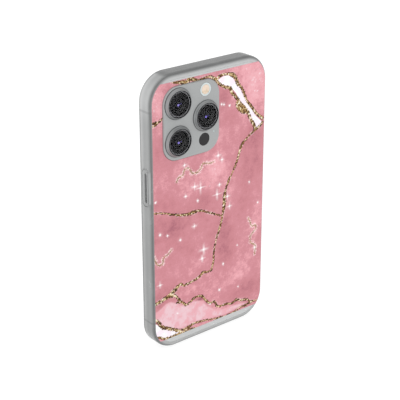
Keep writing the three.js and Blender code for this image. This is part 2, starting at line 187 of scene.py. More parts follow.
def smooth(piece, angle=32):
    """Soft shading on the curves, with creases kept where two faces meet sharply."""
    piece.data.polygons.foreach_set("use_smooth", [True] * len(piece.data.polygons))
    piece.data.set_sharp_from_angle(angle=math.radians(angle))
    even = piece.modifiers.new("even", "WEIGHTED_NORMAL")
    even.keep_sharp = True
    settle(piece)
    return piece


def fit(piece, body, slot, finish, *nodes):
    """Gives a finished piece its material, its body and the parts that it stands for."""
    piece.data.name = piece.name
    piece.data.materials.clear()
    piece.data.materials.append(finish)
    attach(piece, body)
    if nodes:
        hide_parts(*nodes)


class Socket:
    """One value in a finish. Sums on it add the shader's own maths nodes."""

    def __init__(self, finish, output):
        self.finish = finish
        self.output = output

    def maths(self, operation, first, second):
        return self.finish.node("ShaderNodeMath", {"operation": operation}, {0: first, 1: second})

    def __add__(self, other):
        return self.maths("ADD", self, other)

    def __radd__(self, other):
        return self.maths("ADD", other, self)

    def __sub__(self, other):
        return self.maths("SUBTRACT", self, other)

    def __rsub__(self, other):
        return self.maths("SUBTRACT", other, self)

    def __mul__(self, other):
        return self.maths("MULTIPLY", self, other)

    def __rmul__(self, other):
        return self.maths("MULTIPLY", other, self)

    def __truediv__(self, other):
        return self.maths("DIVIDE", self, other)


def colour(red, green, blue):
    """A screen's colour, 0 to 255 for each part of it, turned into light."""
    def light(value):
        value = value / 255
        return value / 12.92 if value <= 0.04045 else ((value + 0.055) / 1.055) ** 2.4
    return (light(red), light(green), light(blue), 1)


class Finish:
    """A material with one main shader, whose even values are set by name."""

    def __init__(self, name, **even):
        self.material = bpy.data.materials.new(name)
        self.material.use_nodes = True
        self.shader = self.material.node_tree.nodes["Principled BSDF"]
        for key, value in even.items():
            self.shader.inputs[key.replace("_", " ")].default_value = value

    def node(self, kind, settings=None, inputs=None, out=0):
        """Adds a shader node, feeds it and gives back one of its outputs."""
        made = self.material.node_tree.nodes.new(kind)
        for key, value in (settings or {}).items():
            if key == "stops":
                self.set_stops(made.color_ramp, value)
            else:
                setattr(made, key, value)
        for key, value in (inputs or {}).items():
            self.feed(made.inputs[key], value)
        return Socket(self, made.outputs[out])

    def set_stops(self, ramp, stops):
        while len(ramp.elements) < len(stops):
            ramp.elements.new(0.5)
        for element, (place, shade) in zip(ramp.elements, stops):
            element.position = place
            element.color = shade

    def feed(self, entry, value):
        if isinstance(value, Socket):
            self.material.node_tree.links.new(value.output, entry)
        else:
            entry.default_value = value

    def vary(self, name, value):
        """Lets a value change over the surface."""
        self.feed(self.shader.inputs[name], value)

    def place(self, stretch=(1, 1, 1), start=(0, 0, 0)):
        """The point on the piece in millimetres, stretched for grain that runs one way."""
        where = self.node("ShaderNodeTexCoord", out="Object")
        scale = tuple(each / MM for each in stretch)
        return self.node("ShaderNodeMapping", None, {"Vector": where, "Scale": scale, "Location": start})

    def axes(self, where):
        """The three distances that make up a place."""
        return [self.node("ShaderNodeSeparateXYZ", None, {0: where}, axis) for axis in range(3)]

    def noise(self, where, size, detail=2, roughness=0.5):
        """Soft clouds about size millimetres across."""
        return self.node("ShaderNodeTexNoise", None, {
            "Vector": where, "Scale": 1 / size, "Detail": detail, "Roughness": roughness}, "Fac")

    def grains(self, where, size):
        """Grains about size millimetres across, each with its own value."""
        shades = self.node("ShaderNodeTexVoronoi", None, {"Vector": where, "Scale": 1 / size}, "Color")
        return self.node("ShaderNodeSeparateColor", None, {0: shades})

    def measure(self, name):
        """A value that the mesh carries at each of its points."""
        return self.node("ShaderNodeAttribute", {"attribute_name": name}, out="Fac")

    def within(self, value, low, high, start=0, end=1):
        """Runs softly from start to end as value goes from low to high."""
        return self.node("ShaderNodeMapRange", {"interpolation_type": "SMOOTHSTEP"}, {
            "Value": value, "From Min": low, "From Max": high, "To Min": start, "To Max": end})

    def ramp(self, value, stops):
        """A colour that passes through its stops as value goes from 0 to 1."""
        return self.node("ShaderNodeValToRGB", {"stops": stops}, {0: value})

    def blend(self, factor, first, second):
        """Two colours mixed."""
        return self.node("ShaderNodeMix", {"data_type": "RGBA"}, {0: factor, 6: first, 7: second}, out=2)

    def clouded(self, where, size, detail, first, second):
        """A colour that wanders between two near shades."""
        clouds = self.noise(where, size, detail)
        self.vary("Base Color", self.blend(clouds, colour(*first), colour(*second)))

    def worn(self, where, size, middle, spread, detail=2):
        """A roughness that wanders a little round its middle value."""
        self.vary("Roughness", middle + (self.noise(where, size, detail) - 0.5) * spread)

    def bumps(self, height, depth):
        """Lets light show a relief that is depth millimetres high."""
        normal = self.node("ShaderNodeBump", None, {"Strength": 1, "Distance": depth * MM, "Height": height})
        self.vary("Normal", normal)


CASE_WIDTH, _, CASE_HEIGHT = size_of("clear_bumper")
CASE_X = CASE_WIDTH / 2
CASE_CORNER = 14.2
WALL = 1.9
BACK_Y = case_low.y / MM
POCKET_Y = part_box("back_plate")[1].y / MM
LIP_Y = case_high.y / MM
FRONT_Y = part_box("screen_lip")[1].y / MM
BACK_EDGE = 2.4
LIP_EDGE = 0.9
LIP_INSET = 3.1
PLATE_INSET = 3.0
handset_low, handset_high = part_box("handset_frame")
HANDSET_X = handset_high.x / MM
MIDDLE_Y = (handset_low.y + handset_high.y) / 2 / MM


def key_places():
    """Each cover's side, middle and length, as the frame has them."""
    for key in ("side_button", "volume_up", "volume_down"):
        x, z = place_of(key + "_cover")
        yield key, 1 if x > 0 else -1, z, size_of(key + "_cover")[2]


def clear_rubber():
    """Cloudy clear rubber, drawn as a mostly opaque grey. The grey over its depth is partly the rubber's
    own, seen along its length at the rounded edges, and partly painted shade and light, darkest on the
    rounded back and front edges. Painted shade also falls towards the bottom, on the top face and on the
    right rounded edge, and painted highlights lie near the top of the sides and along the key bars. Dark
    lines mark the antenna breaks under it.
    """
    finish = Finish("clear_rubber", IOR=1.42, Transmission_Weight=0.12, Specular_IOR_Level=0.12)
    where = finish.place()
    x, y, z = finish.axes(where)
    # Painted shade and light: grey levels over the depth that stand for how the rounded edges catch the
    # light, darker on the rounded back and front edges.
    depth_grey_with_painted_shade = [(-3.25, 200), (-3.2, 190), (-2.95, 152), (-2.5, 116), (-2, 144), (-1.3, 165), (-0.4, 172),
              (2, 168), (3, 178), (4.2, 192), (5, 166), (5.7, 122), (6.25, 98)]
    grey = finish.ramp((y - BACK_Y) / (FRONT_Y - BACK_Y), [
        ((depth - BACK_Y) / (FRONT_Y - BACK_Y), colour(shade, shade + 1, shade + 1))
        for depth, shade in depth_grey_with_painted_shade])
    height = z - MIDDLE_Z / MM
    # Painted shade: darker towards the bottom, on the top face and along the right rounded edge.
    painted_shade = finish.within(height, 50, -30, 0, 0.25) + finish.within(height, 74.2, 75.2, 0, 0.8)
    painted_shade = painted_shade + finish.within(x, 36.6, 37.3, 0, 0.8) * finish.within(y, -1, -2)
    grey = finish.blend(painted_shade, grey, colour(112, 113, 113))
    # Painted highlight: the rubber is lighter along the upper end of the sides, near the top corners.
    corner = finish.within(height, 50, 65) * finish.within(height, 76, 68) * finish.within(y, -2, -1)
    grey = finish.blend(corner * 0.3, grey, colour(235, 236, 236))
    # Painted highlight: a light band along the raised key bars on the left side, where they catch the light.
    beside = y + 1.7
    painted_bar_highlight = finish.within(beside * beside, 0.4, 0.05) * finish.within(x, -36, -37)
    painted_bar_highlight = painted_bar_highlight * finish.within(height, 9, 11) * finish.within(height, 28, 26)
    grey = finish.blend(painted_bar_highlight * 0.6, grey, colour(196, 197, 197))
    for name in ("left_upper", "left_lower"):
        away = height - place_of("antenna_break_" + name)[1]
        line = finish.within(away * away, 0.6, 0.1) * finish.within(x * x, 1300, 1400)
        grey = finish.blend(line * 0.22, grey, colour(70, 72, 72))
    cloudy = finish.noise(where, 9, 3)
    finish.vary("Base Color", finish.blend((cloudy - 0.5) * 0.3, grey, colour(235, 238, 238)))
    finish.vary("Roughness", 0.26 + (cloudy - 0.5) * 0.08)
    finish.bumps(cloudy, 0.004)
    return finish.material


clear_rubber_finish = clear_rubber()
bumper = set_down(case_slab(0, BACK_Y, FRONT_Y, back_edge=BACK_EDGE, front_edge=LIP_EDGE, edge_steps=8),
                  "bumper_moulding")
RIM_WIDTH = {-1: 6.7, 1: 6.1}
RIM_LONGER = 1.2  # than its cover
RIM_ROOT = 1.2
RIM_PROUD = 0.25
RIM_EDGE = 0.24
for _, side, z, length in key_places():
    rim = side_slab(side, length + RIM_LONGER, RIM_WIDTH[side], CASE_X - RIM_ROOT, CASE_X + RIM_PROUD,
                    MIDDLE_Y, z, outer_edge=RIM_EDGE)
    work(bumper, "UNION", rim)
PAST = 1  # how far a cutting shape sticks out of what it cuts
work(bumper, "DIFFERENCE",
     case_slab(WALL, POCKET_Y, LIP_Y),
     case_slab(PLATE_INSET, BACK_Y - PAST, POCKET_Y + PAST / 2),
     case_slab(LIP_INSET, LIP_Y - PAST / 2, FRONT_Y + PAST))
SLOT_WIDTH = 5.2
SLOT_LONGER = 0.6  # than its cover
SLOT_ROOT = 0.6  # how deep a slot reaches past the handset's side
CHANNEL_ROOT = 0.5
KEY_CHANNEL = 0.65  # room for a key between the handset and the wall on its way out
CHANNEL_SHORTER = 0.6  # than its cover, at each end
for _, side, z, length in key_places():
    channel_ends = sorted((side * (HANDSET_X - CHANNEL_ROOT), side * (HANDSET_X + KEY_CHANNEL)))
    work(bumper, "DIFFERENCE",
         side_slab(side, length + SLOT_LONGER, SLOT_WIDTH, HANDSET_X - SLOT_ROOT, CASE_X + 2 * PAST,
                   MIDDLE_Y, z),
         block(*channel_ends, MIDDLE_Y, LIP_Y, z - length / 2 + CHANNEL_SHORTER,
               z + length / 2 - CHANNEL_SHORTER))
SWITCH_Z = place_of("ringer_switch")[1]
SWITCH_OPENING = (13.5, 5.6)
SWITCH_CHANNEL = 0.85
SWITCH_REACH = 3.1
work(bumper, "DIFFERENCE",
     side_slab(1, *SWITCH_OPENING, HANDSET_X - SLOT_ROOT, CASE_X + 2 * PAST, MIDDLE_Y, SWITCH_Z),
     block(HANDSET_X - CHANNEL_ROOT, HANDSET_X + SWITCH_CHANNEL, MIDDLE_Y, LIP_Y,
           SWITCH_Z - SWITCH_REACH, SWITCH_Z + SWITCH_REACH))
SOCKET_OPENING = (13.4, 6)
SPEAKER_OPENING = (14, 2.8)
SPEAKER_X = 15.5
BOTTOM = -CASE_HEIGHT / 2
for x, opening in ((0, SOCKET_OPENING), (-SPEAKER_X, SPEAKER_OPENING), (SPEAKER_X, SPEAKER_OPENING)):
    work(bumper, "DIFFERENCE",
         bottom_slab(*opening, BOTTOM - 2 * PAST, BOTTOM + WALL + PAST / 2, x, MIDDLE_Y))
smooth(bumper)
fit(bumper, "case", "clear_rubber", clear_rubber_finish, "clear_bumper", "screen_lip")

# ---- back panel ----
# A hard clear panel closes the case's back inside the soft bumper. It is moulded first, and the bumper
# is shot round its rim. A rounded window is left in it for the cameras.
PLATEAU_CORNER = 8.5
CUTOUT_GAP = 0.2
PANEL_GAP = 0.06


def cutout(gap):
    """The camera plateau's outline, bigger by gap all round: its size, its corner and its place."""
    width, _, height = size_of("camera_plateau")
    return width + 2 * gap, height + 2 * gap, PLATEAU_CORNER + gap, *place_of("camera_plateau")


def cutout_slab(gap, y_back, y_front, **edges):
    """A slab that follows that outline."""
    width, height, corner, x, z = cutout(gap)
    return slab(width, height, corner, y_back, y_front, x, z, **edges)


def clear_plate():
    finish = Finish("clear_plate", Roughness=0.16, IOR=1.45, Transmission_Weight=0.15)
    cloudy = finish.noise(finish.place(), 14)
    finish.vary("Base Color", finish.blend(cloudy, colour(202, 204, 204), colour(210, 212, 212)))
    finish.bumps(cloudy, 0.004)
    return finish.material


panel = set_down(case_slab(PLATE_INSET + PANEL_GAP, BACK_Y, POCKET_Y), "back_panel")
work(panel, "DIFFERENCE", cutout_slab(CUTOUT_GAP, BACK_Y - PAST, POCKET_Y + PAST))
smooth(panel)
fit(panel, "case", "clear_plate", clear_plate(), "back_plate")

# ---- print film ----
# The picture is a thin printed film bonded over the case's back. It runs round the first part of the
# rounded edge, stops straight above and below, and shows pink stone, gold glitter veins and sparkles.
FILM_INSET = 1.3
FILM_TOP = 71.5
FILM_BOTTOM = -69.5
FILM_THICKNESS = 0.05
FILM_LIFT = 0.06
GRID_STEP = 1.1
FINE_REACH = (1.3, 0.6)  # how near the lines the squares are halved, and halved again
# Each vein: x, z and its half width there. All of it is counted from the case's middle.
TOP_VEIN = [(-24.5, 71.2, 0.35), (-22, 70.8, 0.6), (-16, 69.9, 0.9), (-13, 70.6, 0.9), (-10, 69.7, 0.7),
            (-8, 69.2, 0.3), (-5, 69.4, 0.45), (-2, 69.8, 0.5), (0, 69.3, 0.6), (2, 68.2, 0.8),
            (4, 67.2, 0.9)]
TOP_STRAND = [(-15, 71.4, 0.3), (-12, 70.9, 0.35), (-10, 70, 0.4)]
RIBBON_UPPER = [(3.6, 67.9, 0.6), (5, 68.5, 0.5), (8, 69, 0.5), (11, 68.7, 0.6), (14, 67.7, 0.9),
                (16, 66, 1), (17, 64, 0.9), (18, 62, 0.8), (20, 60, 0.6), (21.5, 57.5, 0.6),
                (22.5, 55, 0.6), (24, 52, 0.5), (26, 49.5, 0.6), (28, 47, 0.6), (30, 44.5, 0.7),
                (32, 42.5, 0.7), (34, 41, 0.8), (35.2, 40, 0.8)]
RIBBON_LOWER = [(4, 66, 0.7), (7, 63.5, 0.6), (10, 62, 0.7), (12.5, 61, 0.8), (13.5, 59, 0.9),
                (15, 57, 0.7), (17, 55, 0.7), (18.5, 53, 0.6), (19.5, 51.5, 0.6)]
RIBBON_CLUSTER = [(16.5, 53), (19, 53), (21, 51), (24, 48), (25.2, 46.5), (24, 44.8), (21, 45.8),
                  (18.3, 47.8), (16.8, 50)]
RIBBON_TAIL = [(25, 46, 0.7), (25.5, 44, 0.7), (26.5, 42, 0.7), (28, 39.5, 0.8), (29.5, 37, 0.8),
               (30, 35.5, 0.7), (31, 35, 0.6)]
RIBBON_END = [(35.2, 37.8, 0.5), (34, 36.8, 0.5), (31, 35, 0.5), (28.5, 33.8, 0.45), (26, 32.5, 0.3),
              (24, 31, 0.4), (22, 29.5, 0.6), (20, 26.5, 0.7), (18.5, 22, 0.5), (17, 18.5, 0.5),
              (14.8, 14.5, 0.3), (12.5, 11, 0.6), (11, 8, 0.35), (10, 5, 0.45), (9.5, 2, 0.95),
              (9.3, -2, 1), (9, -4.5, 0.7), (8.3, -8, 0.45), (7, -13, 0.5), (6, -16, 0.6),
              (4.3, -20, 0.4), (3, -25, 0.35), (2.3, -30, 0.4), (2.2, -33, 0.45), (1.5, -36, 0.5),
              (0.6, -38, 0.5)]
LEFT_VEIN = [(-37, 5.3, 0.3), (-31, 4, 0.3), (-26, 2, 0.35), (-21, 0.2, 0.45), (-16, -1, 0.6),
             (-12, -1, 0.9), (-9, -0.9, 0.6), (-6, -1.6, 0.4), (-2, -3.5, 0.3), (2, -5.5, 0.3),
             (5, -7, 0.25), (8, -8.3, 0.3)]
LOWER_VEIN = [(0.6, -38, 0.4), (-2, -38.3, 0.4), (-5, -37.8, 0.6), (-8, -39.7, 0.6), (-12, -40.6, 0.5),
              (-16, -41.1, 0.5), (-18, -41.2, 0.5), (-20, -39.8, 0.7), (-22, -40.8, 0.9),
              (-24, -42, 1.1), (-26, -43.5, 1.3), (-29, -44.5, 1.1), (-32, -45.3, 0.9),
              (-37, -46.3, 0.8)]
BRANCH_VEIN = [(-26, -45, 0.6), (-24, -45.2, 0.6), (-22, -47.5, 0.5), (-20.5, -49.5, 0.5),
               (-18, -52, 0.55), (-16.5, -53.2, 0.5), (-14, -52.8, 0.5), (-12, -51.5, 0.5),
               (-9, -50.8, 0.55), (-6, -51.5, 0.5), (-4.5, -53, 0.5), (-3, -55, 0.5), (-1, -57.3, 0.5),
               (1, -57.8, 0.5), (3, -58, 0.5), (4, -59.5, 0.5), (4.5, -61, 0.5), (6, -62, 0.5),
               (9, -62.3, 0.5), (12, -62.5, 0.5), (15, -63.3, 0.55), (18, -62.5, 0.6), (19, -62, 0.6),
               (21, -63.3, 0.5), (24, -64, 0.5), (27, -65, 0.5), (29, -66.8, 0.45), (32, -67.3, 0.4),
               (34, -67.4, 0.35)]
BRANCH_SPUR = [(-22.5, -50, 0.4), (-20, -50.5, 0.5)]
CORNER_VEIN = [(-37, -55.2, 0.7), (-34.5, -58, 0.8), (-33, -60.5, 0.8), (-31, -62, 0.8),
               (-28, -63.7, 0.8), (-25, -65.2, 0.8), (-22, -67, 0.8), (-20, -68.3, 0.7)]
FOOT_VEIN = [(-35, -66.6, 0.5), (-31, -68.5, 0.6), (-28, -69, 0.6), (-24, -69, 0.6), (-20, -69, 0.6),
             (-16, -68.8, 0.6), (-13, -69, 0.5), (-10, -69.5, 0.4)]
FOOT_STRAND = [(-20, -67.5, 0.5), (-17, -67.5, 0.6), (-13, -66.8, 0.6), (-11, -66.3, 0.5),
               (-8, -66.7, 0.45), (-5, -67, 0.4), (-1, -67.8, 0.35), (3, -68.7, 0.35), (7, -69.2, 0.35),
               (12, -69.6, 0.35), (16, -69.4, 0.4), (19, -68.7, 0.4), (21, -67.8, 0.4),
               (25, -67.9, 0.4), (28, -67.6, 0.4), (32, -67.3, 0.35)]
SIDE_VEIN = [(-37, 51, 0.45), (-35, 51.8, 0.5), (-33.5, 52.5, 0.5), (-32, 53.3, 0.5), (-30.4, 54, 0.4)]
SIDE_STRAND = [(-37, 52.8, 0.25), (-35, 53, 0.3), (-33.4, 52.7, 0.3)]
GOLD_VEINS = [TOP_VEIN, TOP_STRAND, RIBBON_UPPER, RIBBON_LOWER, RIBBON_TAIL, RIBBON_END, LEFT_VEIN,
              LOWER_VEIN, BRANCH_VEIN, BRANCH_SPUR, CORNER_VEIN, FOOT_VEIN, FOOT_STRAND, SIDE_VEIN,
              SIDE_STRAND]
SQUIGGLE_WIDTH = 0.2
SQUIGGLES = [
    [(-22, 18.5), (-21, 20.5), (-18, 21.5), (-17, 24), (-15, 24.5), (-13, 22.5), (-12, 21),
     (-9, 20.5), (-6.5, 22), (-5, 24.5), (-3, 24), (0, 23.5), (2, 23.7)],
    [(26.5, -15), (28, -18), (29, -20.5), (31.5, -20.5), (32, -22.5), (30, -24.5), (28, -26.5),
     (28.5, -30), (31, -32), (32, -34), (31.5, -38)],
    [(-37, -19), (-35.5, -23), (-33.5, -24.5), (-31.5, -24), (-31, -21), (-28, -20), (-26, -18)],
]
WHITE_STONE = [
    [(5, 66.5), (8, 67.5), (12, 67.5), (14, 65.5), (16, 62.5), (19, 59), (21, 55), (24, 50.5),
     (27, 46.5), (30, 42), (33, 39), (34.8, 37.5), (31, 35.5), (30, 38), (27, 43), (25, 46.5),
     (22, 50), (19, 54.5), (17, 58), (14.5, 60.5), (12, 62.5), (9, 64), (6.5, 65)],
    [(-38, -57.5), (-34, -61), (-31, -63), (-27, -65), (-23, -67.5), (-21, -68.5), (-26, -68.3),
     (-31, -67.8), (-34.5, -66), (-38, -62)],
]
PALE_STONE = [
    [(-38, -52), (-33, -50), (-30, -48.5), (-27, -48), (-24, -49.5), (-21, -52), (-17, -54),
     (-12, -53), (-8, -53.5), (-5, -55), (-2, -59), (1, -61), (4, -64), (10, -65), (16, -65),
     (22, -65.5), (27, -67), (20, -67.5), (10, -68.5), (0, -67), (-8, -66), (-14, -66), (-20, -66.5),
     (-26, -64.5), (-31, -61.5), (-34, -57.5), (-38, -54.5)],
]
# Each soft patch of colour: x, z, its reach in x and in z, and how strong it is.
ROSE_CLOUDS = [(-25, -5, 15, 9, 0.55), (-4, 3, 6, 6, 0.55), (-27, 9, 8, 4, 0.3), (10, -27, 6, 12, 0.55),
               (9, -14, 5, 8, 0.5), (29, 16, 8, 15, 0.42), (27, 30, 9, 5, 0.35), (29, -56, 8, 6, 0.6),
               (20, -58, 8, 4, 0.35), (-28, -42, 9, 5, 0.45), (8, 56, 4, 6, 0.65), (12, 46, 6, 5, 0.3),
               (-34, -47, 3, 3, 0.6), (-6.5, -53.2, 2.2, 0.9, 1.6), (0, -20, 3, 5, 0.3),
               (-16, -20, 8, 5, 0.2), (22, -5, 8, 8, 0.25), (30, 36, 4, 4, 0.4), (-33, 36, 4, 8, 0.25)]
LIGHT_CLOUDS = [(30, 62, 9, 14, 0.75), (14, 70, 10, 4, 0.45), (-34, 62, 6, 9, 0.6), (3, 20, 7, 7, 0.7),
                (-12, 14, 8, 4, 0.35), (0, 10, 5, 5, 0.4), (4, -63, 8, 3, 0.5), (18, -48, 9, 5, 0.4),
                (-14, -46, 6, 3, 0.5), (15, 10, 4, 6, 0.3), (-20, 27, 8, 3, 0.3), (33, -12, 4, 10, 0.35),
                (22, -38, 8, 6, 0.2)]
# Each sparkle: x, z and the length of its arms. Each dot: x, z and its radius.
ARM_WIDTH = 0.27
SPARKLES = [(-6.5, 11.5, 4.4), (4.5, 4.8, 3.8), (-4.5, -24.3, 3.8), (5, 26.5, 2.8), (-10.5, 13.2, 3),
            (11.5, 1.8, 2.8), (13, -4.2, 2.6), (-10.8, -9, 2.2), (-5.5, -29.3, 2.6), (-33.5, -36, 2.6),
            (31.5, -34, 2.2), (7.5, 23.5, 2.2), (6, 10, 2), (-17, 26.5, 2), (-16.3, 9.3, 1.8),
            (-28.3, -9.3, 1.3), (7, 53.6, 1.4), (8.6, 53.1, 1.1), (12.3, 51.7, 1)]
DOTS = [(26.7, 6, 0.35), (-8.5, 4.8, 0.46), (-35.5, 11, 0.44), (-33, -7.5, 0.54), (-20, -14.2, 0.52),
        (33, -7.5, 0.42), (9, -37, 0.45), (6.5, -52, 0.5), (18.8, -28.8, 0.3), (20, -54.5, 0.32),
        (-22.5, -56.3, 0.34), (0, -58.5, 0.36)]


def flowing(line, steps=4):
    """Rounds off a line by passing a soft curve through its places."""
    places = np.array(line, float)
    ends = np.vstack((2 * places[0] - places[1], places, 2 * places[-1] - places[-2]))
    curve = []
    for before, start, end, after in zip(ends, ends[1:], ends[2:], ends[3:]):
        for share in np.arange(steps) / steps:
            step = (end - before) * share + (2 * before - 5 * start + 4 * end - after) * share ** 2
            step += (3 * start - before - 3 * end + after) * share ** 3
            curve.append(start + step / 2)
    return np.array(curve + [places[-1]])


def off_line(spots, line):
    """How far each spot lies from a line, less the line's half width there."""
    nearest = np.full(len(spots), 99.0)
    for (x_start, z_start, w_start), (x_end, z_end, w_end) in zip(line, line[1:]):
        start, way = np.array((x_start, z_start)), np.array((x_end - x_start, z_end - z_start))
        share = np.clip((spots - start) @ way / (way @ way), 0, 1)
        gap = np.linalg.norm(spots - start - share[:, None] * way, axis=1)
        nearest = np.minimum(nearest, gap - w_start - (w_end - w_start) * share)
    return nearest


def off_area(spots, outline):
    """How far each spot lies outside an area, counted negative inside it."""
    closed = [(x, z, 0) for x, z in outline + outline[:1]]
    inside = np.zeros(len(spots), bool)
    for (x_start, z_start, _), (x_end, z_end, _) in zip(closed, closed[1:]):
        spans = (z_start > spots[:, 1]) != (z_end > spots[:, 1])
        crossing = x_start + (spots[:, 1] - z_start) * (x_end - x_start) / ((z_end - z_start) or 1)
        inside ^= spans & (spots[:, 0] < crossing)
    gap = off_line(spots, closed)
    return np.where(inside, -gap, gap)


def off_areas(spots, areas):
    """How far each spot lies outside the nearest of some areas."""
    return np.minimum.reduce([off_area(spots, area) for area in areas])


def off_veins(spots):
    """How far each spot lies from the gold."""
    gaps = [off_line(spots, flowing(vein)) for vein in GOLD_VEINS]
    return np.minimum.reduce(gaps + [off_area(spots, RIBBON_CLUSTER)])


def off_squiggles(spots):
    """How far each spot lies from the fine pale lines."""
    lines = [[(x, z, SQUIGGLE_WIDTH) for x, z in line] for line in SQUIGGLES]
    return np.minimum.reduce([off_line(spots, flowing(line)) for line in lines])


def clouds(spots, areas):
    """How strong the soft patches of one colour are at each spot."""
    amount = np.zeros(len(spots))
    for x, z, reach_x, reach_z, strength in areas:
        away = ((spots[:, 0] - x) / reach_x) ** 2 + ((spots[:, 1] - z) / reach_z) ** 2
        amount += strength * np.exp(-away)
    return amount


def sparkle_light(spots):
    """Four thin arms that fade outwards from a small glow, and plain round dots."""
    amount = np.zeros(len(spots))
    for x, z, arm in SPARKLES:
        across, up = np.abs(spots[:, 0] - x), np.abs(spots[:, 1] - z)
        for along, aside in ((across, up), (up, across)):
            amount += 0.8 * np.exp(-(aside / ARM_WIDTH) ** 2) * np.clip(1 - along / arm, 0, 1) ** 0.9
        amount += np.exp(-(across ** 2 + up ** 2) / (0.22 + 0.05 * arm) ** 2)
    for x, z, radius in DOTS:
        amount += 1.3 * np.exp(-((spots[:, 0] - x) ** 2 + (spots[:, 1] - z) ** 2) / (1.2 * radius) ** 2)
    return np.minimum(amount, 1)


def spots_of(items):
    """The places of some points across and up."""
    return np.array([(each.x, each.z) for each in items])


def outline_of(width, height, corner, x=0, z=0, steps=10):
    """The places round a rectangle with round corners, in turn."""
    shape = flat_shape(width, height, corner, x, z, 0, steps)
    outline = [tuple(point.co.xz) for point in (loop.vert for loop in shape.faces[:][0].loops)]
    shape.free()
    return outline


def cut_sides(bm, outline, middle, clear):
    """Cuts a flat mesh along each side of an outline that bulges everywhere."""
    for (x_start, z_start), (x_end, z_end) in zip(outline, outline[1:] + outline[:1]):
        start, end = Vector((x_start, 0, z_start)), Vector((x_end, 0, z_end))
        away = (end - start).cross(Vector((0, 1, 0)))
        if away.dot(start - middle) < 0:
            away = -away
        reach = (end - start).length / 2 + 1.5 * GRID_STEP
        faces = [face for face in bm.faces
                 if clear or (face.calc_center_median() - (start + end) / 2).length < reach]
        around = {*faces, *(edge for face in faces for edge in face.edges),
                  *(corner for face in faces for corner in face.verts)}
        bmesh.ops.bisect_plane(bm, geom=list(around), plane_co=start, plane_no=away, clear_outer=clear)


def film_sheet():
    """The film laid flat: a grid cut to its outline, with smaller squares near the fine lines."""
    width, height = CASE_WIDTH - 2 * FILM_INSET, FILM_TOP - FILM_BOTTOM
    middle_z = (FILM_TOP + FILM_BOTTOM) / 2
    bm = bmesh.new()
    bmesh.ops.create_grid(bm, x_segments=round(width / GRID_STEP), y_segments=round(height / GRID_STEP),
                          size=0.5)
    bmesh.ops.scale(bm, vec=(width, height, 1), verts=bm.verts)
    turn(bm, 1, "X")
    shift(bm, 0, 0, middle_z)
    rim = outline_of(width, CASE_HEIGHT - 2 * FILM_INSET, CASE_CORNER - FILM_INSET)
    cut_sides(bm, rim, Vector((0, 0, 0)), clear=True)
    window = outline_of(*cutout(CUTOUT_GAP))
    x, z = place_of("camera_plateau")
    cut_sides(bm, window, Vector((x, 0, z)), clear=False)
    centres = spots_of([face.calc_center_median() for face in bm.faces])
    inside = off_area(centres, window) < 0
    gone = [face for face, is_inside in zip(bm.faces, inside) if is_inside]
    bmesh.ops.delete(bm, geom=gone, context="FACES")
    for reach in FINE_REACH:
        spots = spots_of([(edge.verts[0].co + edge.verts[1].co) / 2 for edge in bm.edges])
        fine = np.minimum(off_veins(spots), off_squiggles(spots)) < reach
        fine |= (sparkle_light(spots) > 0.04) | (off_area(spots, rim) > -FINE_REACH[0])
        near = [edge for edge, is_fine in zip(bm.edges, fine) if is_fine]
        bmesh.ops.subdivide_edges(bm, edges=near, cuts=1, use_grid_fill=True)
    return bm


def bend_over_edge(bm):
    """Lets the flat film follow the rounding of the case's back edges."""
    for point in bm.verts:
        out_x = max(abs(point.co.x) - CASE_WIDTH / 2 + CASE_CORNER, 0)
        out_z = max(abs(point.co.z) - CASE_HEIGHT / 2 + CASE_CORNER, 0)
        rise = max(BACK_EDGE - CASE_CORNER + math.hypot(out_x, out_z), 0)
        point.co.y = BACK_Y - FILM_LIFT + BACK_EDGE - math.sqrt(BACK_EDGE ** 2 - rise ** 2)


def carry(piece, name, values):
    """Leaves a value at each of a mesh's points, for its finish to read."""
    piece.data.attributes.new(name, "FLOAT", "POINT").data.foreach_set("value", values)


